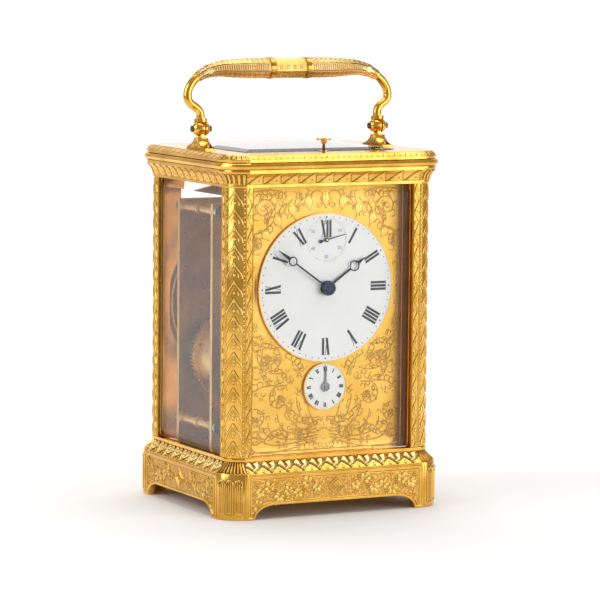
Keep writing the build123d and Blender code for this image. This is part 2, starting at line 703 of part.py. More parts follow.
def minute_hand():
    face = breguet(27.7, 19.7, 1.95, 2.3, 1.2, 0.85, 0.5)
    return along_y(hand_at(DIAL_Z, MINUTE_ANGLE, face), -34.45, -34.15)


def seconds_hand():
    """Needle with a round counterpoise, on its pipe."""
    face = Circle(0.95) + shape([(-0.3, -2.8), (0.3, -2.8), (0.1, 9.1), (-0.1, 9.1)])
    face += Pos(0, -2.8) * Circle(0.75)
    return along_y(hand_at(SECONDS_Z, SECONDS_ANGLE, face - Circle(0.45)), -33.1, -32.9)


def alarm_hand():
    """Short hand on the arbor that sets the alarm, with its wheel behind the dial."""
    face = Circle(1.9) + shape([(-0.4, 0), (0.4, 0), (0.28, 8.2), (0, 8.7), (-0.28, 8.2)])
    body = along_y(hand_at(ALARM_Z, 0, face), -33.2, -32.9)
    body += rod_y(0, ALARM_Z, -33.5, FRONT_PLATE[0] + 1.2, 0.7)
    return body + wheel_at((48, 0.3), 0, ALARM_AXIS, -15.4, -14.4, 1.6, 4)


def cannon_pinion():
    """Pipe on the centre arbor, with its pinion and the domed boss that covers the hand."""
    x, z = CENTRE_AXIS
    body = rod_y(x, z, -34.6, MOTION_Y[1] + 0.4, 1.2)
    body += gear_at(CANNON, 0, CENTRE_AXIS, MOTION_Y[0] - 0.1, MOTION_Y[1] + 0.1, leaf=True)
    dome = Pos(x, -34.45, z) * Sphere(3.1)
    dome -= block(-5, 5, -34.45, -25, z - 5, z + 5)
    dome -= block(-5, 5, -45, -35.75, z - 5, z + 5)
    return body + dome - rod_y(x, z, -33.8, MOTION_Y[1] + 1, 0.7 + 0.08)


def minute_wheel():
    """Wheel and pinion between the cannon pinion and the hour wheel."""
    phase = meshed_phase(CANNON, 0, MINUTE_WHEEL, bearing(CENTRE_AXIS, MINUTE_AXIS))
    body = wheel_at(MINUTE_WHEEL, phase, MINUTE_AXIS, *MOTION_Y, 1.8, 4)
    body += gear_at(MINUTE_PINION, MINUTE_PINION_PHASE, MINUTE_AXIS, -18.0, MOTION_Y[0], leaf=True)
    x, z = MINUTE_AXIS
    return body - rod_y(x, z, -19, -14, 0.45 + PLAY)


MINUTE_PINION_PHASE = 0.0


def hour_wheel():
    phase = meshed_phase(MINUTE_PINION, MINUTE_PINION_PHASE, HOUR_WHEEL,
                         bearing(MINUTE_AXIS, CENTRE_AXIS))
    x, z = CENTRE_AXIS
    body = along_y(Pos(x, z) * gear_face(HOUR_WHEEL, phase), *HOUR_WHEEL_Y)
    body += rod_y(x, z, -33.7, HOUR_WHEEL_Y[1], 1.9)
    return body - rod_y(x, z, -35, -15, 1.2 + 0.08)


# ---- Going train -----------------------------------------------------------------------------
GOING_PHASE = 0.0
SECOND_PINION_PHASE = meshed_phase(GREAT, GOING_PHASE, GREAT_PINION, bearing(GOING_AXIS, SECOND_AXIS))
CENTRE_PINION_PHASE = meshed_phase(SECOND, 0, CENTRE_PINION, bearing(SECOND_AXIS, CENTRE_AXIS))
THIRD_PINION_PHASE = meshed_phase(CENTRE, 0, THIRD_PINION, bearing(CENTRE_AXIS, THIRD_AXIS))
FOURTH_PINION_PHASE = meshed_phase(THIRD, 0, FOURTH_PINION, bearing(THIRD_AXIS, FOURTH_AXIS))


def barrel(axis, phase):
    """Hollow drum with its great wheel and cap; the mainspring and arbor go inside."""
    x, z = axis
    drum = rod_y(x, z, -8.2, GREAT_Y[0], 15.2) - rod_y(x, z, -7.2, GREAT_Y[0] - 0.2, 14.3)
    wheel = along_y(Pos(x, z) * gear_face(GREAT, phase), *GREAT_Y)
    return drum + wheel - rod_y(x, z, -10, 14, 2.2 + PLAY)


def barrel_arbor(axis):
    """Winding arbor: core, pivots, ratchet wheel behind the back plate and the key's square."""
    x, z = axis
    body = rod_y(x, z, -9.9, 18.9, 2.2) + rod_y(x, z, -6.6, 9.8, 4.0)
    body += rod_y(x, z, FRONT_PLATE[0] + 0.2, 23.0, 1.9)
    ratchet = []
    teeth = 24
    for i in range(teeth):
        start = 2 * pi * i / teeth
        for r, angle in ((7.0, start), (5.9, start + 0.01)):
            ratchet.append((r * cos(angle), r * sin(angle)))
    body += along_y(Pos(x, z) * shape(ratchet), 21.7, 22.8)
    return body + block(x - 1.4, x + 1.4, 22.8, 29.5, z - 1.4, z + 1.4)


def ratchet_clicks():
    """Pawl beside each ratchet wheel, on the back plate."""
    clicks = []
    for axis in (GOING_AXIS, STRIKE_AXIS):
        x, z = axis
        face = Circle(2.2) + shape([(-1.2, -2.0), (1.9, -0.6), (-2.1, 5.9), (-2.8, 5.5)])
        stud = rod_y(x + 10.0, z - 4.5, BACK_PLATE[1], 23.6, 1.1)
        body = along_y(Pos(x + 10.0, z - 4.5) * face, 21.7, 22.8) + stud
        clicks.append(body)
    return Compound(children=clicks)


def second_wheel():
    body = arbor(SECOND_AXIS, 1.0)
    body += gear_at(GREAT_PINION, SECOND_PINION_PHASE, SECOND_AXIS, 9.7, 13.3, leaf=True)
    return body + wheel_at(SECOND, 0, SECOND_AXIS, *SECOND_WHEEL_Y, 2.6)


def centre_wheel():
    """Centre arbor: pinion, wheel and the long front pivot that carries the hands."""
    x, z = CENTRE_AXIS
    body = arbor(CENTRE_AXIS, 1.1) + rod_y(x, z, -33.7, 0, 0.7)
    body += gear_at(CENTRE_PINION, CENTRE_PINION_PHASE, CENTRE_AXIS, 13.2, 16.4, leaf=True)
    body += rod_y(x, z, BACK_PLATE[1] - 0.3, 25.5, 0.5)
    body += block(-1.1, 1.1, 23.0, 29.0, z - 1.1, z + 1.1)
    return body + wheel_at(CENTRE, 0, CENTRE_AXIS, *CENTRE_WHEEL_Y, 2.8)


def third_wheel():
    body = arbor(THIRD_AXIS, 0.7)
    body += gear_at(THIRD_PINION, THIRD_PINION_PHASE, THIRD_AXIS, 4.4, 7.8, leaf=True)
    return body + wheel_at(THIRD, 0, THIRD_AXIS, *THIRD_WHEEL_Y, 2.4)


def fourth_wheel():
    """Contrate wheel, whose crown teeth drive the upright escape pinion; it turns once a minute."""
    x, z = FOURTH_AXIS
    body = arbor(FOURTH_AXIS, 0.7) + rod_y(x, z, -33.3, 0, 0.45)
    body += gear_at(FOURTH_PINION, FOURTH_PINION_PHASE, FOURTH_AXIS, -5.6, -1.8, leaf=True)
    teeth, module = CONTRATE
    r = pitch_radius(CONTRATE)
    window = Circle(r - 1.4) - Circle(2.2)
    for i in range(5):
        window -= Rot(0, 0, 72 * i + 18) * (Pos(r / 2, 0) * Rectangle(r, 1.2))
    body += along_y(Pos(x, z) * (Circle(r + 0.4) - window), *CONTRATE_Y)
    crown = Sketch()
    for i in range(teeth):
        tooth = Pos(r, 0) * Rectangle(0.8, 0.36 * pi * module)
        crown += Rot(0, 0, CROWN_PHASE + 360 * i / teeth) * tooth
    return body + along_y(Pos(x, z) * crown, CONTRATE_Y[1], CONTRATE_TIP)


CROWN_PHASE = 90.0               # one tooth stands at the top


# ---- Platform escapement ---------------------------------------------------------------------
def platform_screw_places():
    plates = [(y0 + y1) / 2 for y0, y1 in (FRONT_PLATE, BACK_PLATE)]
    return [(x, y) for x in (-8.5, 8.5) for y in plates]


def platform():
    """Plate across the top of the movement, with a potence for the escape pinion's lower pivot."""
    body = block(-11, 11, FRONT_PLATE[0], BACK_PLATE[1], PLATE_TOP, PLATFORM_TOP)
    body += block(-2, 2, 6.2, 7.8, 118.6, PLATE_TOP) + block(-1.6, 1.6, 3.15, 7.8, 118.6, 119.8)
    body -= rod_z(0, ESCAPE_Y, PLATE_TOP - 1, PLATFORM_TOP + 1, 1.7)
    body -= rod_z(0, ESCAPE_Y, 118, 121, 0.25)
    for y in (LEVER_Y, BALANCE_Y):
        body -= rod_z(0, y, 125.9, PLATFORM_TOP + 1, 0.25)
    for x, y in platform_screw_places():
        body -= rod_z(x, y, PLATE_TOP - 1, PLATFORM_TOP + 1, 0.65)
    return body


def escape_wheel():
    """Upright arbor with its pinion below the platform and its fifteen-tooth wheel above."""
    teeth = 15
    points = []
    for i in range(teeth):
        a = 2 * pi * i / teeth
        for r, da in ((3.3, 0.0), (4.6, 0.10), (4.55, 0.16), (3.5, 0.20)):
            points.append((r * cos(a + da), r * sin(a + da)))
    window = Circle(2.7) - Circle(1.1)
    for i in range(3):
        window -= Rot(0, 0, 120 * i) * (Pos(1.5, 0) * Rectangle(3, 0.6))
    wheel = Pos(0, ESCAPE_Y) * (shape(points) - window)
    body = along_z(wheel, 129.4, 129.9)
    body += rod_z(0, ESCAPE_Y, 119.9, 131.3, 0.45) + rod_z(0, ESCAPE_Y, 118.8, 132.0, 0.2)
    leaves = Pos(0, ESCAPE_Y) * gear_face(ESCAPE_PINION, -90 + 180 / ESCAPE_PINION[0], leaf=True)
    return body + along_z(leaves, 120.4, 122.8)


def pallet_lever():
    """Lever with two pallets round the escape wheel and a fork towards the balance."""
    face = Circle(0.9)
    for side in (-1, 1):
        face += shape([(0, 0.6), (side * 3.6, -0.6), (side * 3.6, -1.4), (side * 3.1, -1.5), (0, -0.5)])
        stone = Pos(side * 3.3, -1.55) * Rot(0, 0, side * 35) * Rectangle(0.5, 0.9)
        face += stone
    face += Pos(0, 2.0) * Rectangle(0.7, 4.0)
    face += Pos(0, 4.15) * Rectangle(2.2, 0.8)
    face -= Pos(0, 4.4) * Rectangle(1.2, 0.8)
    body = along_z(Pos(0, LEVER_Y) * face, 129.4, 129.9)
    body += rod_z(0, LEVER_Y, 127.2, 131.3, 0.3)
    return body + rod_z(0, LEVER_Y, 126.0, 132.0, 0.2)


def escape_cock():
    """Cock over the escape wheel and the lever."""
    arm = shape([(-10.2, 1.8), (-6.6, 1.8), (1.3, 2.2), (1.3, 10.9), (-1.3, 10.9), (-4.2, 7.0),
                 (-10.2, 7.0)])
    body = along_z(arm, 131.4, 132.2) + block(-10.2, -6.6, 1.8, 7.0, PLATFORM_TOP, 131.4)
    for y in (ESCAPE_Y, LEVER_Y):
        body -= rod_z(0, y, 131, 133, 0.25)
    return body


def balance():
    """Balance wheel with its staff, roller and impulse pin."""
    rim = Circle(6.4) - Circle(5.3) + Rectangle(11.4, 1.0) + Circle(1.4)
    body = along_z(Pos(0, BALANCE_Y) * rim, 133.2, 134.2)
    body += rod_z(0, BALANCE_Y, 127.2, 135.9, 0.5) + rod_z(0, BALANCE_Y, 126.0, 136.8, 0.2)
    body += rod_z(0, BALANCE_Y, 130.3, 130.7, 1.9)
    return body + rod_z(0, BALANCE_Y - 1.35, 129.3, 130.3, 0.15)


def balance_cock():
    """Cock that reaches over the balance, with the raised setting of its pivot jewel."""
    arm = shape([(-3.2, -10.0), (3.2, -10.0), (2.2, 14.0), (-2.2, 14.0)]) + Pos(0, BALANCE_Y) * Circle(3.0)
    body = along_z(arm, 136.2, 137.5) + block(-3.2, 3.2, -10.0, -5.4, PLATFORM_TOP, 136.2)
    body += rod_z(0, BALANCE_Y, 137.5, 138.1, 1.5)
    return body - rod_z(0, BALANCE_Y, 135, 137.2, 0.25)


# ---- Strike train ----------------------------------------------------------------------------
STRIKE_SECOND_PHASE = meshed_phase(
    GREAT, 0, GREAT_PINION, bearing(STRIKE_AXIS, STRIKE_SECOND_AXIS)
)
PIN_PINION_PHASE = meshed_phase(STRIKE_SECOND, 0, PIN_PINION, bearing(STRIKE_SECOND_AXIS, PIN_AXIS))
WARNING_PINION_PHASE = meshed_phase(PIN_WHEEL, 0, WARNING_PINION, bearing(PIN_AXIS, WARNING_AXIS))
FLY_PINION_PHASE = meshed_phase(WARNING, 0, FLY_PINION, bearing(WARNING_AXIS, FLY_AXIS))


def strike_second_wheel():
    body = arbor(STRIKE_SECOND_AXIS, 1.0)
    body += gear_at(GREAT_PINION, STRIKE_SECOND_PHASE, STRIKE_SECOND_AXIS, 9.7, 13.3, leaf=True)
    return body + wheel_at(STRIKE_SECOND, 0, STRIKE_SECOND_AXIS, *SECOND_WHEEL_Y, 2.6)


def pin_wheel():
    """Wheel whose pins lift the hammer's tail."""
    body = arbor(PIN_AXIS, 0.8)
    body += gear_at(PIN_PINION, PIN_PINION_PHASE, PIN_AXIS, 13.2, 16.4, leaf=True)
    body += wheel_at(PIN_WHEEL, 0, PIN_AXIS, *PIN_WHEEL_Y, 2.4)
    for i in range(10):
        x, z = from_axis(PIN_AXIS, pitch_radius(PIN_WHEEL) - 1.1, 36 * i)
        body += rod_y(x, z, PIN_WHEEL_Y[1], PIN_WHEEL_Y[1] + 1.4, 0.35)
    return body


def warning_wheel():
    body = arbor(WARNING_AXIS, 0.6)
    body += gear_at(WARNING_PINION, WARNING_PINION_PHASE, WARNING_AXIS, 7.6, 11.0, leaf=True)
    return body + wheel_at(WARNING, 0, WARNING_AXIS, *WARNING_Y, 1.8, 4, 1.0)


def fly():
    """Two-bladed air brake."""
    x, z = FLY_AXIS
    body = arbor(FLY_AXIS, 0.5 + 0.05)
    body += gear_at(FLY_PINION, FLY_PINION_PHASE, FLY_AXIS, 0.3, 3.6, leaf=True)
    return body + block(x - 5.5, x + 5.5, -8.5, -1.5, z - 0.3, z + 0.3) + rod_y(x, z, -9, -1, 1.1)


# ---- Plates ----------------------------------------------------------------------------------
TRAIN_AXES = [SECOND_AXIS, THIRD_AXIS, STRIKE_SECOND_AXIS, PIN_AXIS, WARNING_AXIS, FLY_AXIS]


def front_plate():
    y0, y1 = FRONT_PLATE
    w = PLATE_HALF_WIDTH
    body = block(-w, w, y0, y1, MOULDING_TOP, PLATE_TOP)
    for x, z in TRAIN_AXES:
        body -= rod_y(x, z, y0 - 1, y1 + 1, PIVOT + PLAY)
    for x, z in (GOING_AXIS, STRIKE_AXIS):
        body -= rod_y(x, z, y0 - 1, y1 + 1, 1.9 + PLAY)
    body -= rod_y(*CENTRE_AXIS, y0 - 1, y1 + 1, 0.7 + PLAY)
    body -= rod_y(*FOURTH_AXIS, y0 - 1, y1 + 1, PIVOT + PLAY)
    body -= rod_y(*ALARM_AXIS, y0 - 1, y1 + 1, 0.7 + PLAY)
    body += rod_y(*MINUTE_AXIS, -18.2, y0, 0.45)
    for x, z in DIAL_FEET:
        body -= rod_y(x, z, y0 - 1, y1 + 1, 1.0)
    return plate_fixings(body, y0, y1)


def back_plate():
    y0, y1 = BACK_PLATE
    w = PLATE_HALF_WIDTH
    body = block(-w, w, y0, y1, MOULDING_TOP, PLATE_TOP)
    for x, z in TRAIN_AXES + [CENTRE_AXIS, FOURTH_AXIS]:
        body -= rod_y(x, z, y0 - 1, y1 + 1, PIVOT + PLAY)
    for x, z in (GOING_AXIS, STRIKE_AXIS):
        body -= rod_y(x, z, y0 - 1, y1 + 1, 1.9 + PLAY)
    body -= rod_y(*HAMMER_AXIS, y0 - 1, y1 + 1, 0.8 + PLAY)
    return plate_fixings(body, y0, y1)


def plate_fixings(body, y0, y1):
    """Holes for the pillars' ends and for the screws into the plate's edges."""
    middle = (y0 + y1) / 2
    for x, z in MOVEMENT_PILLARS:
        body -= rod_y(x, z, y0 - 1, y1 + 1, 1.2)
    for x in (-28.0, 28.0):
        body -= rod_z(x, middle, MOULDING_TOP - 1, 30.0, 0.7)
    for x in (-8.5, 8.5):
        body -= rod_z(x, middle, 121.5, PLATE_TOP + 1, 0.6)
    return body


def movement_pillars():
    """Turned pillars that hold the plates apart."""
    pillars = []
    y0, y1 = FRONT_PLATE[1], BACK_PLATE[0]
    for x, z in MOVEMENT_PILLARS:
        body = rod_y(x, z, y0, y1, 1.9) + rod_y(x, z, FRONT_PLATE[0] - 1.5, BACK_PLATE[1] + 1.5, 1.2)
        for y in (y0, (y0 + y1) / 2 - 0.8, y1 - 1.6):
            body += rod_y(x, z, y, y + 1.6, 2.7)
        pillars.append(body)
    return Compound(children=pillars)


def pillar_nuts():
    nuts = []
    for x, z in MOVEMENT_PILLARS:
        for face, way in ((FRONT_PLATE[0], -1), (BACK_PLATE[1], 1)):
            ends = sorted((face, face + way * 2.0))
            nuts.append(rod_y(x, z, *ends, 2.7) - rod_y(x, z, *sorted((face - way, face + way * 1.5)), 1.2))
    return Compound(children=nuts)


# ---- Gong and hammer -------------------------------------------------------------------------
GONG_Z = 78.0
GONG_Y = 32.0
GONG_OUTER = 35.5
GONG_STEP = 2.4                  # between one turn and the next
GONG_WIRE = 0.85
HAMMER_REACH = 8.5
HAMMER_AIM = 50.0                # direction from the gong's centre to the hammer's head
HAMMER_HEAD = from_axis((0, GONG_Z), 26.4, HAMMER_AIM)
HAMMER_AXIS = from_axis(HAMMER_HEAD, HAMMER_REACH, HAMMER_AIM + 90)


def gong():
    """Coiled steel gong: half circles whose radius shrinks and whose centre steps sideways."""
    x, r = 0.0, GONG_OUTER
    pieces = []
    start = Vector(0, GONG_Y, GONG_Z - GONG_OUTER)
    z_low = True
    centre = GONG_Z
    for _ in range(5):
        way = 1 if z_low else -1
        end = Vector(0, GONG_Y, centre + way * r)
        start = Vector(0, GONG_Y, centre - way * r)
        pieces.append(ThreePointArc(start, Vector(way * r, GONG_Y, centre), end))
        r -= GONG_STEP / 2
        centre += way * GONG_STEP / 2
        z_low = not z_low
    path = pieces[0]
    for piece in pieces[1:]:
        path += piece
    section = Plane(origin=(0, GONG_Y, GONG_Z - GONG_OUTER), z_dir=(1, 0, 0)) * Circle(GONG_WIRE)
    return sweep(section, path=path)


def gong_block():
    """Block on the back plate that clamps the outer end of the gong."""
    z = GONG_Z - GONG_OUTER
    return block(-5.0, 0, BACK_PLATE[1], GONG_Y + 2.5, z - 4.0, z + 1.2)


def hammer():
    """Hammer on its arbor behind the back plate, its face square to the gong's inner turn."""
    x, z = HAMMER_AXIS
    arm = Pos(HAMMER_REACH / 2, 0) * Rectangle(HAMMER_REACH, 1.0)
    arm = Pos(x, z) * Rot(0, 0, HAMMER_AIM - 90) * arm
    body = rod_y(x, z, BACK_PLATE[0] - 0.5, 33.0, 0.8) + rod_y(x, z, 30.8, 33.0, 1.2)
    body += along_y(arm, GONG_Y - 0.4, GONG_Y + 0.4)
    hx, hz = HAMMER_HEAD
    return body + Pos(hx, GONG_Y, hz) * Rot(0, -HAMMER_AIM, 0) * Box(5.0, 3.0, 3.2)


# ---- Write every part ------------------------------------------------------------------------
PARTS = {
    "base_plinth": base_plinth,
    "base_moulding": base_moulding,
    "floor_plate": floor_plate,
    "pillar_front_left": lambda: pillar(-1, -1),
    "pillar_front_right": lambda: pillar(1, -1),
    "pillar_rear_left": lambda: pillar(-1, 1),
    "pillar_rear_right": lambda: pillar(1, 1),
    "cornice": cornice,
    "top_frame": top_frame,
    "top_glass": top_glass,
    "front_glass": front_glass,
    "side_glasses": lambda: Compound(children=[side_glass(-1), side_glass(1)]),
    "screws": screws,
    "handle_pedestals": handle_pedestals,
    "handle_arms": lambda: Compound(children=[handle_arm(-1), handle_arm(1)]),
    "handle_grips": handle_grips,
    "grip_rings": grip_rings,
    "handle_screws": handle_screws,
    "button_bush": button_bush,
    "repeat_button": repeat_button,
    "rear_door_frame": rear_door_frame,
    "rear_door_glass": rear_door_glass,
    "door_hinge_pins": door_hinge_pins,
    "door_knob": door_knob,
    "dial_mask": dial_mask,
    "main_dial": main_dial,
    "alarm_dial": alarm_dial,
    "hour_hand": hour_hand,
    "minute_hand": minute_hand,
    "seconds_hand": seconds_hand,
    "alarm_hand": alarm_hand,
    "cannon_pinion": cannon_pinion,
    "minute_wheel": minute_wheel,
    "hour_wheel": hour_wheel,
    "front_plate": front_plate,
    "back_plate": back_plate,
    "movement_pillars": movement_pillars,
    "pillar_nuts": pillar_nuts,
    "going_barrel": lambda: barrel(GOING_AXIS, GOING_PHASE),
    "going_barrel_arbor": lambda: barrel_arbor(GOING_AXIS),
    "strike_barrel": lambda: barrel(STRIKE_AXIS, 0),
    "strike_barrel_arbor": lambda: barrel_arbor(STRIKE_AXIS),
    "ratchet_clicks": ratchet_clicks,
    "second_wheel": second_wheel,
    "centre_wheel": centre_wheel,
    "third_wheel": third_wheel,
    "fourth_wheel": fourth_wheel,
    "platform": platform,
    "escape_wheel": escape_wheel,
    "pallet_lever": pallet_lever,
    "escape_cock": escape_cock,
    "balance": balance,
    "balance_cock": balance_cock,
    "strike_second_wheel": strike_second_wheel,
    "pin_wheel": pin_wheel,
    "warning_wheel": warning_wheel,
    "fly": fly,
    "gong": gong,
    "gong_block": gong_block,
    "hammer": hammer,
}

os.makedirs("parts", exist_ok=True)
for name, make in PARTS.items():
    export_step(make(), f"parts/{name}.step")
    print(name)
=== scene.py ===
"""Looks of a glazed brass carriage clock, built round its CAD frame.

Ornament is drawn in millimetres on charts of the case's surfaces, and scaled to metres when a
mesh is made. X is the width, -Y is the front and Z is up.
"""
import random
from math import atan2, cos, degrees, hypot, log, pi, radians, sin, sqrt

import bpy
import numpy as np
from mathutils import Matrix, Vector


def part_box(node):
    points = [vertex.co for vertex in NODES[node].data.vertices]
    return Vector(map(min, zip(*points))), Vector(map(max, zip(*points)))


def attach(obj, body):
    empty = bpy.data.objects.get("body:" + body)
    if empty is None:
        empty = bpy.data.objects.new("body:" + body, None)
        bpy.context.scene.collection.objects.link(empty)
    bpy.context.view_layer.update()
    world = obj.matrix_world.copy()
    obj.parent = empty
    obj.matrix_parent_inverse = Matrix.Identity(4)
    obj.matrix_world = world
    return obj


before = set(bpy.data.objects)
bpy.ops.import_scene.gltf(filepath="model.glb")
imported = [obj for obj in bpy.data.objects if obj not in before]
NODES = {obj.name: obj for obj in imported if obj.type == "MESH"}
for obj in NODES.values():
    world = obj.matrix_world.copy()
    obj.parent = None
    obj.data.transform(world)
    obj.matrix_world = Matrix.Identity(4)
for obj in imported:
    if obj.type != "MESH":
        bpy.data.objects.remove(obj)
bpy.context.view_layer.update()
MM = 0.001
WELD_GAP = 1e-6                  # metres
random.seed(5)

# Sizes of the case, as in the CAD
WIDTH_MINUS_DEPTH = 5.8
STRAIGHT = 39.7                  # half the straight part of the front; the corners start there
PLINTH = 50.0
PANEL_TOP, PANEL_SUNK, PANEL_BORDER = 16.9, 0.35, 1.4
FOOT, ARCH_RUN, ARCH_RISE = 3.1, 9.0, 5.6     # foot beyond the arch's shoulder, and the shoulder
PILLAR = 45.9
PILLAR_INNER = 36.4
PILLAR_SPAN = (24.9, 133.2)
MOULDING = [(49.6, 18.7), (48.1, 20.0), (46.6, 21.4), (45.8, 22.5), (45.5, 23.3)]
CORNICE = [(46.3, 134.7), (46.6, 136.2), (47.4, 137.8), (48.9, 139.3)]
TOP = 146.8
CHAMFER = [(49.1, 144.9), (47.0, TOP)]
# The bowed corners: their half-angle, and their centre and radius as shares of their width
CORNER_HALF_ANGLE = radians(40.38)
BOW_CENTRE, BOW_RADIUS = 1.088, 1.0915
MASK_FACE = 31.6
DIAL_FACE = 32.5
SECONDS_FACE = DIAL_FACE - 0.15
DIAL_Z, DIAL_R = 91.5, 30.2
SECONDS_Z = 111.1
ALARM_Z, ALARM_R = 50.9, 9.35
PIVOT_X, PIVOT_Z, LEAN = 40.9, 155.1, radians(7.0)
PEDESTAL = 2.4                   # half the thickness of the handle's pedestals
GRIP, GRIP_HEIGHT = 4.35, 24.5
GRIP_STRAIGHT, GRIP_CURVE, GRIP_END = 29.3, (17.0, 11.4), 48.0
OCTAGON_FLAT = 0.9239            # distance to a facet as a share of that to a corner
FACET = 0.36                     # half-width of a facet that is engraved, as the same share


def placed(name, data):
    """New object in the scene."""
    piece = bpy.data.objects.new(name, data)
    bpy.context.scene.collection.objects.link(piece)
    return piece


# ---- Materials -------------------------------------------------------------------------------
def new_material(name):
    material = bpy.data.materials.new(name)
    material.use_nodes = True
    nodes, links = material.node_tree.nodes, material.node_tree.links
    return material, nodes, links, nodes["Principled BSDF"]


def noise(nodes, links, scale, detail=4.0, roughness=0.55, stretch=None):
    """Noise texture over object coordinates; the scale is in features per metre."""
    place = nodes.new("ShaderNodeTexCoord")
    texture = nodes.new("ShaderNodeTexNoise")
    texture.inputs["Scale"].default_value = scale
    texture.inputs["Detail"].default_value = detail
    texture.inputs["Roughness"].default_value = roughness
    vector = place.outputs["Object"]
    if stretch:
        mapping = nodes.new("ShaderNodeMapping")
        mapping.inputs["Scale"].default_value = stretch
        links.new(vector, mapping.inputs["Vector"])
        vector = mapping.outputs["Vector"]
    links.new(vector, texture.inputs["Vector"])
    return texture.outputs["Fac"]


def ramp(nodes, links, source, stops):
    node = nodes.new("ShaderNodeValToRGB")
    links.new(source, node.inputs["Fac"])
    points = node.color_ramp.elements
    while len(points) < len(stops):
        points.new(0.5)
    for point, (position, colour) in zip(points, stops):
        point.position = position
        point.color = (*colour, 1.0)
    return node.outputs["Color"]


def remap(nodes, links, source, low, high, start=0.3, end=0.7):
    node = nodes.new("ShaderNodeMapRange")
    links.new(source, node.inputs["Value"])
    for socket, value in (("From Min", start), ("From Max", end), ("To Min", low), ("To Max", high)):
        node.inputs[socket].default_value = value
    return node.outputs["Result"]


def bump(nodes, links, source, shader, distance, strength=0.5):
    node = nodes.new("ShaderNodeBump")
    node.inputs["Distance"].default_value = distance
    node.inputs["Strength"].default_value = strength
    links.new(source, node.inputs["Height"])
    links.new(node.outputs["Normal"], shader.inputs["Normal"])


def mixed(nodes, links, factor, first, second):
    """Colour between two, each a constant or an output of a node; a factor of 0 is the first."""
    mix = nodes.new("ShaderNodeMix")
    mix.data_type = "RGBA"
    links.new(factor, mix.inputs["Factor"])
    for name, colour in (("A", first), ("B", second)):
        if isinstance(colour, tuple):
            mix.inputs[name].default_value = (*colour, 1.0)
        else:
            links.new(colour, mix.inputs[name])
    return mix.outputs["Result"]


def metal(name, light, dark, roughness, grain, depth, stretch=None, relief=None, stipple=None):
    """Metal with uneven tone and polish, fine grain and, on ornament, painted shade in the hollows."""
    material, nodes, links, shader = new_material(name)
    shader.inputs["Metallic"].default_value = 1.0
    patches = noise(nodes, links, 90.0, 3.0)
    colour = ramp(nodes, links, patches, [(0.36, dark), (0.62, light)])
    # relief is a painted shade colour: it darkens the low ground round each raised line of ornament and
    # fades out up its sides.
    if relief:
        painted_shade_height = nodes.new("ShaderNodeAttribute")
        painted_shade_height.attribute_name = "height"
        raised = remap(nodes, links, painted_shade_height.outputs["Fac"], 0.0, 1.0, 0.08, 0.7)
        colour = mixed(nodes, links, raised, relief, colour)
    links.new(colour, shader.inputs["Base Color"])
    polish = noise(nodes, links, 260.0, 5.0)
    links.new(remap(nodes, links, polish, *roughness), shader.inputs["Roughness"])
    if stipple:
        place = nodes.new("ShaderNodeTexCoord")
        cells = nodes.new("ShaderNodeTexVoronoi")
        cells.inputs["Scale"].default_value = stipple
        links.new(place.outputs["Object"], cells.inputs["Vector"])
        bump(nodes, links, cells.outputs["Distance"], shader, depth, 0.8)
        pits = remap(nodes, links, cells.outputs["Distance"], 0.0, 1.0, 0.15, 0.6)
        links.new(mixed(nodes, links, pits, colour, (0.56, 0.29, 0.06)), shader.inputs["Base Color"])
    else:
        bump(nodes, links, noise(nodes, links, grain, 3.0, 0.6, stretch), shader, depth)
    return material


# The relief colours below are painted shade for the hollows of the ornament.
GILT = metal("gilt_brass", (0.93, 0.545, 0.11), (0.76, 0.40, 0.065), (0.10, 0.22), 900, 0.00006)
GILT_RELIEF = metal("chased_brass", (0.98, 0.62, 0.16), (0.84, 0.47, 0.09), (0.13, 0.26), 1400, 0.00006,
                    relief=(0.28, 0.12, 0.015))
GILT_STIPPLE = metal("stippled_brass", (1.0, 0.64, 0.19), (0.90, 0.52, 0.12), (0.30, 0.45), 900,
                     0.00010, stipple=1300)
# Paler copy of the chased brass for the base moulding's leaves: a painted highlight where they face the
# lamps.
GILT_PAINTED_HIGHLIGHT = metal("brass_painted_highlight", (1.0, 0.74, 0.30), (0.97, 0.64, 0.20), (0.14, 0.24), 1200, 0.00004,
                    relief=(0.30, 0.12, 0.015))
GRIP_RELIEF = metal("worn_chasing", (1.0, 0.76, 0.40), (0.86, 0.58, 0.24), (0.24, 0.38), 1400, 0.00008,
                    relief=(0.26, 0.12, 0.03))
GRIP_GILT = metal("worn_gilt", (0.80, 0.47, 0.12), (0.60, 0.33, 0.07), (0.2, 0.34), 1100, 0.00008)
MASK = metal("frosted_gilt", (0.76, 0.445, 0.085), (0.68, 0.375, 0.055), (0.30, 0.42), 2600, 0.00004)
MASK_RELIEF = metal("mask_engraving", (0.84, 0.52, 0.12), (0.76, 0.43, 0.085), (0.24, 0.36), 1800, 0.00003,
                    relief=(0.30, 0.135, 0.018))
MOVEMENT = metal("movement_brass", (0.86, 0.58, 0.23), (0.70, 0.43, 0.13), (0.24, 0.4), 700, 0.00004,
                 stretch=(1.0, 1.0, 14.0))
STEEL = metal("polished_steel", (0.62, 0.63, 0.66), (0.40, 0.40, 0.43), (0.16, 0.32), 800, 0.00003,
              stretch=(12.0, 1.0, 1.0))
DARK_STEEL = metal("dark_steel", (0.13, 0.09, 0.07), (0.06, 0.04, 0.03), (0.2, 0.34), 900, 0.00002)
GREY_STEEL = metal("grey_steel", (0.22, 0.22, 0.23), (0.12, 0.12, 0.13), (0.2, 0.34), 900, 0.00002)
BLUED = metal("blued_steel", (0.030, 0.036, 0.060), (0.012, 0.014, 0.028), (0.22, 0.36), 900, 0.00002)


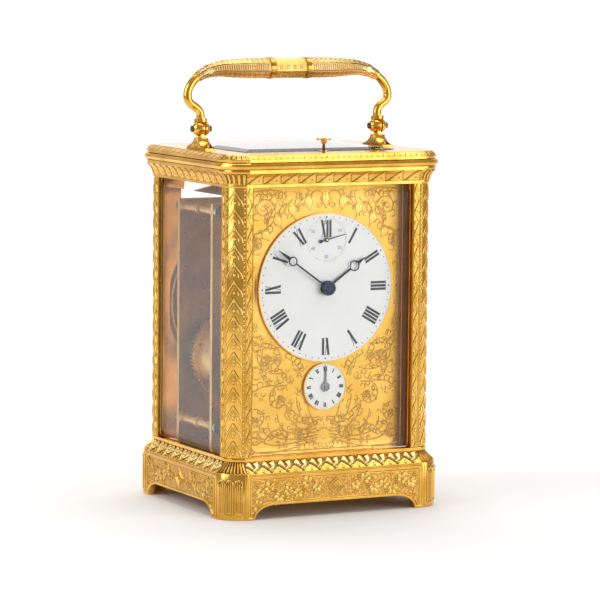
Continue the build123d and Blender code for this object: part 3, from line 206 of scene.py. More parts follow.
def button_material():
    """Gilt head on a darker steel rod."""
    material = metal("button_gilt_and_steel", (0.95, 0.55, 0.13), (0.80, 0.42, 0.08), (0.16, 0.3),
                     900, 0.00004)
    nodes, links = material.node_tree.nodes, material.node_tree.links
    shader = nodes["Principled BSDF"]
    place, split = nodes.new("ShaderNodeTexCoord"), nodes.new("ShaderNodeSeparateXYZ")
    links.new(place.outputs["Object"], split.inputs["Vector"])
    head = remap(nodes, links, split.outputs["Z"], 0.0, 1.0, 0.1496, 0.1499)
    gilt = shader.inputs["Base Color"].links[0].from_socket
    links.new(mixed(nodes, links, head, (0.16, 0.11, 0.07), gilt), shader.inputs["Base Color"])
    return material


def enamel_material():
    material, nodes, links, shader = new_material("white_enamel")
    tone = noise(nodes, links, 60.0, 2.0)
    links.new(ramp(nodes, links, tone, [(0.3, (0.95, 0.95, 0.94)), (0.7, (0.99, 0.99, 0.985))]),
              shader.inputs["Base Color"])
    shine = noise(nodes, links, 400.0, 2.0)
    links.new(remap(nodes, links, shine, 0.10, 0.18), shader.inputs["Roughness"])
    shader.inputs["Coat Weight"].default_value = 0.35
    bump(nodes, links, noise(nodes, links, 120.0, 2.0), shader, 0.00005, 0.3)
    return material


def paint_material(name, light, dark):
    """Vitrified black or grey of the numerals."""
    material, nodes, links, shader = new_material(name)
    tone = noise(nodes, links, 1500.0, 3.0)
    links.new(ramp(nodes, links, tone, [(0.35, dark), (0.65, light)]), shader.inputs["Base Color"])
    links.new(remap(nodes, links, tone, 0.25, 0.4), shader.inputs["Roughness"])
    return material


def glass_material(name, tint):
    """Clear glass with a trace of dust; lamps' rays pass straight through it."""
    material, nodes, links, shader = new_material(name)
    smear = noise(nodes, links, 30.0, 3.0)
    deep = tuple(0.985 * c for c in tint)
    links.new(ramp(nodes, links, smear, [(0.3, deep), (0.7, tint)]), shader.inputs["Base Color"])
    links.new(remap(nodes, links, smear, 0.0, 0.003), shader.inputs["Roughness"])
    shader.inputs["Transmission Weight"].default_value = 1.0
    shader.inputs["IOR"].default_value = 1.3
    clear = nodes.new("ShaderNodeBsdfTransparent")
    clear.inputs["Color"].default_value = (*tint, 1.0)
    path = nodes.new("ShaderNodeLightPath")
    mix = nodes.new("ShaderNodeMixShader")
    links.new(path.outputs["Is Shadow Ray"], mix.inputs["Fac"])
    links.new(shader.outputs["BSDF"], mix.inputs[1])
    links.new(clear.outputs["BSDF"], mix.inputs[2])
    links.new(mix.outputs["Shader"], nodes["Material Output"].inputs["Surface"])
    return material


ENAMEL = enamel_material()
INK = paint_material("dial_black", (0.035, 0.040, 0.060), (0.015, 0.018, 0.030))
GREY_INK = paint_material("dial_grey", (0.20, 0.21, 0.24), (0.12, 0.13, 0.15))
GLASS = glass_material("bevelled_glass", (0.992, 0.998, 0.995))

BUTTON = button_material()
PILLARS = "pillar_front_left pillar_front_right pillar_rear_left pillar_rear_right "
PANES = "top_glass front_glass side_glasses rear_door_glass"
FINISH = {
    BUTTON: "repeat_button",
    GILT: PILLARS + "base_moulding cornice top_frame handle_pedestals handle_arms button_bush "
          "rear_door_frame door_hinge_pins door_knob floor_plate base_plinth",
    MASK: "dial_mask",
    MOVEMENT: "front_plate back_plate movement_pillars going_barrel strike_barrel second_wheel "
              "centre_wheel third_wheel fourth_wheel minute_wheel hour_wheel strike_second_wheel "
              "pin_wheel warning_wheel fly platform escape_cock balance_cock balance gong_block",
    DARK_STEEL: "handle_screws gong",
    GREY_STEEL: "alarm_hand",
    GRIP_GILT: "handle_grips grip_rings",
    STEEL: "screws pillar_nuts going_barrel_arbor strike_barrel_arbor ratchet_clicks "
           "escape_wheel pallet_lever hammer",
    BLUED: "hour_hand minute_hand seconds_hand cannon_pinion",
    ENAMEL: "main_dial alarm_dial",
    GLASS: PANES,
}
for finish, names in FINISH.items():
    for node in names.split():
        NODES[node].data.materials.clear()
        NODES[node].data.materials.append(finish)


def inset(node, depth):
    """Draws a pane in a little from the metal that holds it; depth is in millimetres."""
    piece = NODES[node]
    weld = piece.modifiers.new("join", "WELD")
    weld.merge_threshold = WELD_GAP
    gap = piece.modifiers.new("gap", "DISPLACE")
    gap.mid_level, gap.strength = 0.0, -depth * MM


def soften(node, width):
    """Small rounded edges on a CAD node, so that they catch the light."""
    piece = NODES[node]
    weld = piece.modifiers.new("join", "WELD")
    weld.merge_threshold = WELD_GAP
    bevel = piece.modifiers.new("edges", "BEVEL")
    bevel.width = width * MM
    bevel.segments = 2
    bevel.limit_method = "ANGLE"
    bevel.angle_limit = radians(38)
    bevel.harden_normals = True


for node in PANES.split():
    inset(node, 0.04)
for node in (PILLARS + "base_plinth rear_door_frame handle_pedestals handle_grips").split():
    soften(node, 0.22)
for node in "cornice top_frame base_moulding front_plate back_plate repeat_button".split():
    soften(node, 0.12)


# ---- Charts: (u, v, h) on a surface to a point in millimetres --------------------------------
def joined(x, y, z):
    return np.stack(np.broadcast_arrays(x, y, z), -1)


def turned(x, y, quarter):
    """Plan position turned by quarter turns from the front side to another."""
    c, s = ((1, 0), (0, 1), (-1, 0), (0, -1))[quarter % 4]
    return x * c - y * s, x * s + y * c


def wall(quarter, distance):
    """Flat side of the case: u runs to the right as seen from outside, v is the level."""
    def chart(u, v, h):
        x, y = turned(u, -(distance + h), quarter)
        return joined(x, y, v)
    return chart


def side_half(quarter, half_width):
    """Half-width across the case, as measured towards one side."""
    return half_width - (WIDTH_MINUS_DEPTH if quarter % 2 == 0 else 0)


def straight_half(quarter):
    """Half the straight part of a side, from its middle to where the corners start."""
    return STRAIGHT - (0 if quarter % 2 == 0 else WIDTH_MINUS_DEPTH)


def profile(stations):
    """Length of a moulding's profile, and (half-width, level, normal) at a place along it."""
    a, z = (np.array(values, float) for values in zip(*stations))
    step = np.hypot(np.diff(a), np.diff(z))
    along = np.concatenate([[0], np.cumsum(step)])
    da, dz = np.gradient(a, along), np.gradient(z, along)

    def at(v):
        out, up = np.interp(v, along, dz), -np.interp(v, along, da)
        size = np.hypot(out, up)
        return np.interp(v, along, a), np.interp(v, along, z), out / size, up / size
    return along[-1], at


def moulding_side(quarter, stations):
    """Length across a moulding, and its chart on one side: u along the side, v across."""
    length, at = profile(stations)

    def chart(u, v, h):
        a, z, out, up = at(v)
        x, y = turned(u, -(side_half(quarter, a) + out * h), quarter)
        return joined(x, y, z + up * h)
    return length, chart


def moulding_corner(corner, stations):
    """Corner to the right of a side: u is -1 to 1 across the bowed corner."""
    length, at = profile(stations)

    def chart(u, v, h):
        a, z, out, up = at(v)
        r = a - STRAIGHT
        cx, cy = a - BOW_CENTRE * r, a - WIDTH_MINUS_DEPTH - BOW_CENTRE * r
        sx, sy = ((1, -1), (1, 1), (-1, 1), (-1, -1))[corner % 4]
        angle = radians(-45 + 90 * corner) + u * CORNER_HALF_ANGLE
        reach = BOW_RADIUS * r + out * h
        x, y = sx * cx + reach * np.cos(angle), sy * cy + reach * np.sin(angle)
        return joined(x, y, z + up * h)
    return length, chart


def column(corner, half_width, base):
    """Upright bowed corner: u in millimetres along the arc, v the level."""
    r = half_width - STRAIGHT
    inner = moulding_corner(corner, [(half_width, base), (half_width, base + 150)])[1]
    share = 1.0 / (BOW_RADIUS * r * CORNER_HALF_ANGLE)
    return lambda u, v, h: inner(u * share, v - base, h)


# ---- Relief ----------------------------------------------------------------------------------
BORDER = np.array([-1, 0, 0, 0, 0, 0, 1])            # cut ground beside a raised line
FLOOR = np.array([-0.02, 0.015, 0, 0, 0, 0.015, -0.02])
RIDGE = np.array([0, 0.04, 0.8, 1.0, 0.8, 0.04, 0])


class Relief:
    """Ornament gathered into one mesh, with each point's share of its height.

    cut is the width in millimetres of the ground cut round each raised line or leaf, which takes the
    painted shade of the hollows.
    """

    def __init__(self, cut=0.2):
        self.cut = cut
        self.points, self.faces, self.heights = [], [], []
        self.count = 0

    def grid(self, chart, u, v, h, height, closed=False):
        u, v, h = np.broadcast_arrays(u, v, h)
        points = chart(u, v, h)
        above = chart(u[:1, :1], v[:1, :1], h[:1, :1] + 1.0)[0, 0] - points[0, 0]
        rows, cols = u.shape
        middle = rows // 2
        across = points[middle, 1] - points[middle, 0]
        down = points[middle - 1, 0] - points[middle, 0]
        flip = float(np.cross(across, down) @ above) < 0
        base = self.count
        last = cols if closed else cols - 1
        for i in range(rows - 1):
            for j in range(last):
                k = (j + 1) % cols
                face = (base + i * cols + j, base + i * cols + k,
                        base + (i + 1) * cols + k, base + (i + 1) * cols + j)
                self.faces.append(face if flip else face[::-1])
        self.points.append(points.reshape(-1, 3))
        self.heights.append(np.clip(h / max(height, 1e-6), 0, 1).reshape(-1))
        self.count += rows * cols

    def stroke(self, chart, path, width, height, taper=0.0):
        """Raised line; taper is the share of the width lost at the ends."""
        path = np.array(path, float)
        tangent = np.gradient(path, axis=0)
        tangent /= np.maximum(np.linalg.norm(tangent, axis=1, keepdims=True), 1e-9)
        t = np.linspace(0, 1, len(path))[:, None]
        half = width / 2 * (1 - taper * (2 * t - 1) ** 2)
        across = half * np.array([-1, -1, -0.55, 0, 0.55, 1, 1]) + BORDER * self.cut
        rise = height * RIDGE * (1 - 0.5 * taper * (2 * t - 1) ** 2) + FLOOR
        u = path[:, :1] - tangent[:, 1:] * across
        v = path[:, 1:] + tangent[:, :1] * across
        self.grid(chart, u, v, rise, height)

    def leaf(self, chart, at, length, width, turn, height, crease=0.55, bend=0.0, fullest=0.45):
        """Leaf from its stalk at a place, growing in a direction in degrees."""
        t = np.linspace(0.0, 1.0, 9)[:, None]
        power = log(0.5) / log(fullest)
        half = width / 2 * np.sin(pi * t ** power) ** 0.8
        across = half * np.array([-1, -1, -0.58, 0, 0.58, 1, 1]) + BORDER * self.cut
        rise = np.array([0, 0.04, 0.95, crease, 0.95, 0.04, 0])
        x, y = t * length + 0 * across, across + bend * np.sin(pi * t)
        c, s = cos(radians(turn)), sin(radians(turn))
        swell = 0.35 + 0.65 * np.sin(pi * np.clip(t, 0.02, 0.98)) ** 0.5
        self.grid(chart, at[0] + x * c - y * s, at[1] + x * s + y * c,
                  height * rise * swell + FLOOR, height)

    def bead(self, chart, at, radius, height, squash=1.0, segments=10):
        ring = np.linspace(0, 2 * pi, segments, endpoint=False)
        reach = radius * np.array([1.0, 1.0, 0.82, 0.5, 0.05])[:, None]
        reach = reach + self.cut * np.array([1.0, 0.0, 0.0, 0.0, 0.0])[:, None]
        rise = np.array([0, 0.05, 0.6, 0.9, 1.0])[:, None]
        u, v = at[0] + reach * np.cos(ring), at[1] + reach * squash * np.sin(ring)
        rise = height * rise + np.array([-0.02, 0.015, 0, 0, 0])[:, None] + 0 * ring
        self.grid(chart, u, v, rise, height, closed=True)

    def plate(self, chart, outline, height):
        """Flat raised shape with upright edges."""
        outline = np.array(outline, float)
        n = len(outline)
        low = chart(outline[:, 0], outline[:, 1], np.full(n, -0.02))
        high = chart(outline[:, 0], outline[:, 1], np.full(n, height))
        area = np.sum(outline[:, 0] * np.roll(outline[:, 1], -1)
                      - np.roll(outline[:, 0], -1) * outline[:, 1])
        base = self.count
        order = list(range(n)) if area > 0 else list(range(n))[::-1]
        self.faces.append(tuple(base + n + i for i in order))
        for i in range(n):
            a, b = order[i], order[(i + 1) % n]
            self.faces.append((base + a, base + b, base + n + b, base + n + a))
        self.points += [low, high]
        self.heights += [np.zeros(n), np.ones(n)]
        self.count += 2 * n

    def make(self, name, material, body="case", slot="case_brass", smooth=True):
        mesh = bpy.data.meshes.new(name)
        points = np.concatenate(self.points) * MM
        mesh.from_pydata(points.tolist(), [], self.faces)
        mesh.update()
        mesh.polygons.foreach_set("use_smooth", [smooth] * len(mesh.polygons))
        layer = mesh.attributes.new("height", "FLOAT", "POINT")
        layer.data.foreach_set("value", np.concatenate(self.heights).astype(np.float32))
        mesh.materials.append(material)
        piece = placed(name, mesh)
        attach(piece, body)
        return piece


def level(v, start, end, steps):
    """Points along a line at one level."""
    return [(u, v) for u in np.linspace(start, end, steps)]


def upright(u, start, end, steps):
    """Points up a line at one distance across."""
    return [(u, v) for v in np.linspace(start, end, steps)]


def arc(cx, cy, r, start, end, steps):
    """Points along an arc, with angles in degrees."""
    a = np.radians(np.linspace(start, end, steps))
    return np.stack([cx + r * np.cos(a), cy + r * np.sin(a)], -1)


def spiral(cx, cy, r0, r1, start, end, steps=28):
    """Points along a spiral that shrinks from r0 to r1."""
    t = np.linspace(0, 1, steps)
    a = np.radians(start + (end - start) * t)
    r = r0 + (r1 - r0) * t ** 0.8
    return np.stack([cx + r * np.cos(a), cy + r * np.sin(a)], -1)


def bezier(p0, p1, p2, p3, steps=18):
    t = np.linspace(0, 1, steps)[:, None]
    p0, p1, p2, p3 = (np.array(p, float) for p in (p0, p1, p2, p3))
    return (1 - t) ** 3 * p0 + 3 * (1 - t) ** 2 * t * p1 + 3 * (1 - t) * t ** 2 * p2 + t ** 3 * p3


# ---- Base moulding: a row of water leaves, and flutes round the corners ----------------------
BASE_LEAF, TOP_EDGE_LEAF = 7.2, 2.6           # pitches of the rows of leaves, before rounding
CORNICE_LEAF = (7.8, 6.2)                     # on the front and back, and on the sides


def base_leaves():
    relief = Relief()
    for quarter in range(4):
        length, chart = moulding_side(quarter, MOULDING)
        half = straight_half(quarter)
        count = round(2 * half / BASE_LEAF)
        pitch = 2 * half / count
        for i in range(count):
            x = -half + pitch * (i + 0.5)
            for side in (-1, 1):
                relief.leaf(chart, (x + side * 0.1, 0.5), length - 0.35, 3.9, 90 - side * 21, 0.7,
                            crease=1.0, bend=-side * 0.3, fullest=0.72)
            relief.leaf(chart, (x, 0.2), 3.1, 2.0, 90, 1.05, crease=1.15, fullest=0.4)
            relief.leaf(chart, (x - pitch / 2, 0.05), 2.0, 1.1, 90, 0.4, fullest=0.35)
    # The water leaves take the paler brass, a painted highlight.
    relief.make("base_moulding_leaves", GILT_PAINTED_HIGHLIGHT)
    flutes = Relief()
    for corner in range(4):
        length, chart = moulding_corner(corner, MOULDING)
        for i in range(9):
            u = (i - 4) / 4 * 0.86
            path = upright(u, 0.3, length - 0.1, 8)
            flutes.stroke(chart, path, 0.13, 0.42, taper=0.4)
    flutes.make("base_corner_flutes", GILT_RELIEF)


# ---- Cornice: slanted leaves with a bead, and flutes round the corners -----------------------
def cornice_leaves():
    relief = Relief()
    for quarter in range(4):
        length, chart = moulding_side(quarter, CORNICE)
        half = straight_half(quarter)
        count = round(2 * half / CORNICE_LEAF[quarter % 2])
        pitch = 2 * half / count
        for i in range(count):
            x = -half + pitch * i
            v = np.linspace(0, 1, 7)[:, None]
            left = x + 0.5 + (pitch * 0.72) * v ** 1.5
            right = x + pitch * 0.95 - 0.9 * v
            share = np.array([0.0, 0.18, 0.5, 0.82, 1.0])
            rise = np.array([-0.1, 0.7, 1.0, 0.8, -0.1])
            u = left + (right - left) * share
            relief.grid(chart, u, 0.25 + v * (length - 0.5), 0.5 * rise * (1 - 0.3 * v), 0.5)
            vein = bezier((x + 0.3, 0.3), (x + 1.6, 0.5), (x + 3.8, 2.6), (x + pitch * 0.85, length - 0.2))
            relief.stroke(chart, vein - (0.55, 0), 0.5, 0.5, taper=0.3)
            relief.bead(chart, (x + pitch * 0.62, 1.6), 0.55, 0.95)
    relief.make("cornice_leaves", GILT_RELIEF)
    flutes = Relief()
    for corner in range(4):
        length, chart = moulding_corner(corner, CORNICE)
        for i in range(5):
            u = (i - 2) / 2 * 0.78
            path = [(u * (1 - 0.12 * t), 0.2 + t * (length - 0.4)) for t in np.linspace(0, 1, 8)]
            flutes.stroke(chart, path, 0.22, 0.4, taper=0.3)
    flutes.make("cornice_corner_flutes", GILT_RELIEF)


# ---- Top edge: a running leaf on the chamfer -------------------------------------------------
def chamfer_engraving():
    relief = Relief()
    for quarter in range(4):
        length, chart = moulding_side(quarter, CHAMFER)
        half = straight_half(quarter)
        count = round(2 * half / TOP_EDGE_LEAF)
        pitch = 2 * half / count
        for i in range(count):
            x = -half + pitch * (i + 0.5)
            turn = 62 if i % 2 else 118
            start = x - 0.6 if i % 2 else x + 0.6
            relief.leaf(chart, (start, 0.25), length - 0.5, 1.1, turn, 0.16, fullest=0.5)
        for v in (0.12, length - 0.12):
            relief.stroke(chart, level(v, -half, half, 24), 0.22, 0.12)
    for corner in range(4):
        length, chart = moulding_corner(corner, CHAMFER)
        for i in range(7):
            u = (i - 3) / 3 * 0.85
            relief.stroke(chart, upright(u, 0.3, length - 0.3, 5), 0.12, 0.16, 0.5)
    relief.make("top_edge_engraving", GILT_RELIEF)


# ---- Pillars: stacked leaves with beads on the corners, waves on the flats --------------------
def pillar_engraving():
    low, high = PILLAR_SPAN
    tiers, waves = 15, 24
    pitch, step = (high - low) / tiers, (high - low) / waves
    for corner, name in enumerate(("front_right", "rear_right", "rear_left", "front_left")):
        relief = Relief()
        chart = column(corner, PILLAR, low)
        for i in range(tiers):
            z = low + pitch * i
            for side in (-1, 1):
                edge = bezier((side * 3.4, z + 0.1), (side * 3.3, z + 2.4),
                              (side * 1.4, z + 3.6), (0, z + 6.6))
                relief.stroke(chart, edge, 0.75, 0.34)
                inner = bezier((side * 1.7, z + 0.5), (side * 1.8, z + 1.9),
                               (side * 0.7, z + 2.8), (0, z + 4.4))
                relief.stroke(chart, inner, 0.42, 0.22)
                for k in range(4):
                    relief.leaf(chart, (side * 4.45, z + 0.9 + k * pitch / 4), 1.15, 0.85,
                                90 + side * 52, 0.22, fullest=0.5)
            relief.bead(chart, (0, z + 1.55), 0.62, 0.55, squash=1.25)
            relief.leaf(chart, (0, z + 4.6), 1.9, 0.8, 90, 0.3)
        for side in (-1, 1):
            for x in (4.62, 3.85):
                line = upright(side * x, low, high, 30)
                relief.stroke(chart, line, 0.22, 0.16)
        for quarter, side in ((corner, 1), (corner + 1, -1)):
            half = straight_half(quarter)
            inner_edge = PILLAR_INNER - (0 if quarter % 2 == 0 else 6.2)
            flat = wall(quarter, side_half(quarter, PILLAR))
            middle = side * (half + inner_edge) / 2
            z = np.linspace(low, high, waves * 8)
            wave = middle + 0.75 * np.sin((z - low) / step * pi)
            relief.stroke(flat, np.stack([wave, z], -1), 0.5, 0.3)
            for i in range(waves):
                way = -1 if i % 2 else 1
                place = (middle + way * 0.25, low + step * (i + 0.5))
                relief.leaf(flat, (place[0] - way * 1.15, place[1] - 0.9), 1.9, 0.95, 90 - way * 22, 0.28)
            for x in (inner_edge + 0.35, half - 0.2):
                line = upright(side * x, low, high, 30)
                relief.stroke(flat, line, 0.3, 0.18)
        relief.make("pillar_engraving_" + name, GILT_RELIEF)


# ---- Plinth: fluted corners and vine panels --------------------------------------------------
def plinth_flutes():
    relief = Relief()
    spacing = 3.7
    for corner in range(4):
        chart = column(corner, PLINTH, 0)
        for x in (-spacing, 0.0, spacing):
            for half, base, width, height in ((1.4, 2.2, 0.5, 0.34), (0.5, 3.2, 0.42, 0.3)):
                top = 16.3 - (1.35 - half) * 0.4
                path = upright(x - half, base, top - half, 8)
                path += list(arc(x, top - half, half, 180, 0, 9))
                path += upright(x + half, top - half, base, 8)
                relief.stroke(chart, path, width, height)
            relief.stroke(chart, level(2.2, x - 1.2, x + 1.2, 5), 0.4, 0.3)
        for side in (-1, 1):
            line = upright(side * 6.6, 0.5, 17.8, 12)
            relief.stroke(chart, line, 0.3, 0.2)
    relief.make("plinth_corner_flutes", GILT_RELIEF)


def vine_leaf(relief, chart, at, size, turn, height):
    """Five-lobed vine leaf."""
    for angle, length in ((0, 1.0), (58, 0.82), (-58, 0.82), (112, 0.6), (-112, 0.6)):
        relief.leaf(chart, at, size * length, size * 0.5, turn + angle, height, crease=0.4, fullest=0.6)


def grapes(relief, chart, at, size, way, height):
    for row, count in enumerate((3, 2, 1)):
        for i in range(count):
            x = at[0] + (i - (count - 1) / 2) * size
            relief.bead(chart, (x, at[1] + way * row * size * 0.85), size * 0.52, height, segments=8)


def panel_base(straight, x):
    """Lower edge of a plinth panel: level over the arch, then down round its shoulders."""
    run, rise = ARCH_RUN + PANEL_BORDER, ARCH_RISE + PANEL_BORDER
    beyond = abs(x) - straight
    if beyond <= 0:
        return rise
    if beyond >= run:
        return PANEL_BORDER
    return max(PANEL_BORDER, rise * sqrt(1 - (beyond / run) ** 2))


def plinth_panels():
    relief, ground = Relief(0.28), Relief(0.1)
    top, margin = PANEL_TOP, 1.3
    for quarter in range(4):
        half = straight_half(quarter)
        straight = half - FOOT - ARCH_RUN
        face = wall(quarter, side_half(quarter, PLINTH) - PANEL_SUNK)
        outer = wall(quarter, side_half(quarter, PLINTH))
        columns = np.linspace(-half + margin, half - margin, 121)
        base = np.array([panel_base(straight, x) for x in columns])
        rows = np.linspace(0, 1, 3)[:, None]
        ground.grid(face, columns, base + 0.1 + (top - 1.2 - base) * rows,
                    0.04 + 0 * rows * columns, 0.04)
        border = np.stack([columns, base], -1)
        relief.stroke(face, border, 0.4, 0.3)
        upper = level(top - 0.9, -half + margin, half - margin, 30)
        relief.stroke(face, upper, 0.4, 0.3)
        for side in (-1, 1):
            edge = upright(side * (half - margin), base[0], top - 0.9, 8)
            relief.stroke(face, edge, 0.4, 0.3)
        relief.stroke(outer, level(18.0, -half, half, 30), 0.35, 0.12)
        centre = (top + ARCH_RISE) / 2 + 0.4
        for size in (3.6, 2.2):
            corners = [(0, size), (size * 1.05, 0), (0, -size), (-size * 1.05, 0), (0, size)]
            for a, b in zip(corners, corners[1:]):
                path = [((1 - t) * a[0] + t * b[0], centre + (1 - t) * a[1] + t * b[1])
                        for t in np.linspace(0, 1, 5)]
                relief.stroke(face, path, 0.42, 0.4)
        for k in (-1, 0, 1):
            hatch = [(k * 0.9 + t, centre + t * 1.2) for t in np.linspace(-0.8, 0.8, 4)]
            relief.stroke(face, hatch, 0.3, 0.3)
        for way in (-1, 1):
            inner, reach = 4.6, half - 4.5
            xs = np.linspace(inner, reach, 60)
            swing = np.sin((xs - inner) / (reach - inner) * 2.5 * pi)
            stem = centre - 0.2 + 1.5 * swing - 0.03 * (xs - inner)
            relief.stroke(face, np.stack([way * xs, stem], -1), 0.42, 0.42, taper=0.5)
            places = max(3, round((reach - 6) / 4.2))
            for i in range(places):
                share = (i + 0.5) / places
                x = 6.6 + share * (reach - 5.2)
                z = float(np.interp(x, xs, stem))
                up = 1 if i % 2 else -1
                lift = z + up * 0.9
                turn = 90 * up + way * (-26 if up > 0 else 26)
                vine_leaf(relief, face, (way * x, lift), 3.9 if i % 3 else 3.4, turn, 0.5)
                if i % 3 != 2:
                    grapes(relief, face, (way * (x + 1.9), z - up * 1.2), 0.95, -up, 0.5)
                else:
                    curl = spiral(way * (x + 1.8), z - up * 1.6, 1.2, 0.3, 90, 90 + 420, 22)
                    relief.stroke(face, curl, 0.26, 0.3, taper=0.3)
            foot = half - 3.6
            for i in range(3):
                z = 3.0 + 2.6 * i
                relief.leaf(face, (way * foot, z), 2.7, 1.5, 90 + way * (-25 + 22 * i), 0.42)
                relief.leaf(face, (way * (foot - 0.6), z + 0.6), 2.2, 1.2, 90 + way * 55, 0.38)
        for i in range(1200 if quarter % 2 == 0 else 1000):
            x = random.uniform(-half + 1.7, half - 1.7)
            low = panel_base(straight, x) + 0.5
            z = random.uniform(low, top - 1.5)
            ground.bead(face, (x, z), random.uniform(0.16, 0.27), 0.16, segments=6)
    ground.make("plinth_panel_ground", GILT_STIPPLE)
    relief.make("plinth_vines", GILT_RELIEF)


# ---- Mask: engraved scrolls round the dials --------------------------------------------------
def acanthus(relief, chart, path, size, height, lobes, side):
    """Small curls that stand for leaf lobes, along one side of a scroll."""
    path = np.array(path)
    tangent = np.gradient(path, axis=0)
    for i in range(lobes):
        k = int((i + 0.6) / lobes * (len(path) - 2))
        angle = degrees(atan2(tangent[k, 1], tangent[k, 0]))
        r = size * (0.30 + 0.22 * sin(pi * (i + 0.5) / lobes))
        a = radians(angle + side * 60)
        centre = (path[k][0] + 1.1 * r * cos(a), path[k][1] + 1.1 * r * sin(a))
        start = angle + side * 60 + 180
        relief.stroke(chart, arc(centre[0], centre[1], r, start, start - side * 215, 12), 0.2, height, 0.5)


def mask_engraving():
    relief = Relief(0.24)
    chart = wall(0, MASK_FACE)
    height, line = 0.1, 0.26

    def pair(path, leaves, size, side=1):
        for way in (1, -1):
            drawn = np.array(path) * (way, 1)
            relief.stroke(chart, drawn, line, height, taper=0.35)
            acanthus(relief, chart, drawn, size, height, leaves, side * way)

    def clear(x, z):
        return (hypot(x, z - DIAL_Z) > DIAL_R + 1.8 and hypot(x, z - ALARM_Z) > ALARM_R + 1.6
                and abs(x) < 35.6 and 25.6 < z < 132.6)

    # shell over the dial
    for i in range(-4, 5):
        angle = 90 + i * 13
        foot = arc(0, DIAL_Z, DIAL_R + 2.0, angle, angle, 2)[0]
        relief.leaf(chart, tuple(foot), 6.6 - abs(i) * 0.45, 3.6, angle - i * 3, height,
                    crease=0.5, fullest=0.62)
    for i in range(-5, 5):
        a = 90 + (i + 0.5) * 12.0
        centre = arc(0, DIAL_Z, DIAL_R + 6.3 - abs(i + 0.5) * 0.2, a, a, 2)[0]
        relief.stroke(chart, arc(centre[0], centre[1], 2.9, a - 95, a + 95, 12), line, height, 0.3)
    # scrolls in the upper corners
    pair(spiral(28.0, 124.0, 5.6, 0.9, 210, -260), leaves=8, size=2.6)
    pair(bezier((23, 120), (25, 117), (29.5, 114), (34.5, 113.5)), leaves=5, size=2.6, side=-1)
    pair(spiral(31.2, 109.8, 3.2, 0.6, 60, 460), leaves=5, size=1.9)
    pair(bezier((17.6, 128.5), (20, 131.5), (25, 131.8), (33, 130.5)), leaves=6, size=2.2, side=-1)
    # slim scrolls beside the dial
    pair(bezier((33.4, 104.5), (34.8, 99), (34.6, 92), (33.4, 86)), leaves=6, size=1.5, side=-1)
    pair(bezier((33.6, 84.0), (34.8, 79.5), (33.5, 75.5), (31.6, 73.6)), leaves=4, size=1.8, side=-1)
    # large scrolls under the dial
    pair(spiral(25.6, 62.6, 7.4, 1.1, 75, 560, 44), leaves=12, size=3.1)
    pair(bezier((18.3, 64.0), (14.2, 62.2), (11.9, 60.0), (10.9, 56.5)), leaves=5, size=2.7, side=-1)
    pair(spiral(20.4, 46.6, 6.2, 1.0, 120, -330, 40), leaves=10, size=2.8, side=-1)
    pair(bezier((24.5, 52.0), (29.0, 53.0), (32.5, 50.5), (34.2, 46.0)), leaves=5, size=2.5)
    pair(spiral(30.6, 38.8, 4.4, 0.8, 80, 470, 34), leaves=7, size=2.2)
    pair(bezier((15.2, 42.6), (11.5, 38.5), (7.5, 37.4), (2.4, 38.6)), leaves=6, size=2.4)
    pair(spiral(10.8, 32.4, 4.9, 0.8, 130, 560, 36), leaves=8, size=2.4)
    pair(bezier((15.8, 31.6), (20.0, 36.6), (24.0, 34.0), (27.2, 29.6)), leaves=6, size=2.5, side=-1)
    pair(spiral(32.0, 29.8, 2.8, 0.6, 200, -200, 24), leaves=4, size=1.7)
    for i in range(-2, 3):
        relief.leaf(chart, (i * 0.5, 33.5), 5.2 - abs(i), 2.4, 90 - i * 34, height, crease=0.4)
        relief.leaf(chart, (i * 0.5, 29.6), 3.6, 1.8, 270 + i * 30, height, crease=0.4)
    # sprays of slim stalks sweeping out and up from the foot of the alarm dial
    for i in range(7):
        out, up = 6.0 + 4.3 * i, 50.5 - 3.3 * i
        pair(bezier((1.0 + 0.4 * i, 36.5 - 1.3 * i), (3 + out * 0.5, 35.5 - 1.5 * i),
                    (out + 1.5, up - 9), (out + 2.4, up)), leaves=3, size=1.6, side=1 if i % 2 else -1)
    for i in range(4):
        low = 70.0 - 5.2 * i
        pair(bezier((34.4 - 2.2 * i, low + 8), (34.6 - i, low + 1), (27.5 - i, low - 4),
                    (20.0 - i, low - 2)), leaves=4, size=1.7, side=-1)
    for i in range(3):
        pair(bezier((8 + 7 * i, 129.6 - 1.5 * i), (14 + 6 * i, 126 - 3 * i), (16 + 6 * i, 122 - 3 * i),
                    (13.5 + 6.2 * i, 119.2 - 3.6 * i)), leaves=3, size=1.5)
    # short tendrils scattered between the scrolls
    for _ in range(330):
        x, z = random.uniform(1.0, 34.5), random.uniform(27.0, 131.0)
        if not clear(x, z):
            continue
        size = random.uniform(0.9, 1.7)
        turn = random.uniform(0, 360)
        if not clear(x + size, z) or not clear(x, z + size) or not clear(x, z - size):
            continue
        for way in (1, -1):
            facing = turn if way > 0 else 180 - turn
            curl = spiral(0, 0, size, size * 0.35, 0, 240, 12) * (1, way)
            c, s = cos(radians(facing)), sin(radians(facing))
            path = [(way * x + p[0] * c - p[1] * s, z + p[0] * s + p[1] * c) for p in curl]
            relief.stroke(chart, path, 0.24, height * 0.8, taper=0.4)
    # border lines just inside the glass
    border = 35.7
    for x in (-border, border):
        relief.stroke(chart, upright(x, 26, 132, 30), 0.3, height)
    for z in (25.9, 132.4):
        relief.stroke(chart, level(z, -border, border, 24), 0.3, height)
    relief.make("mask_engraving", MASK_RELIEF, slot="engraved_brass")


# ---- Dials -----------------------------------------------------------------------------------
def polar(cz, r, degrees_from_top):
    a = radians(degrees_from_top)
    return (r * sin(a), cz + r * cos(a))


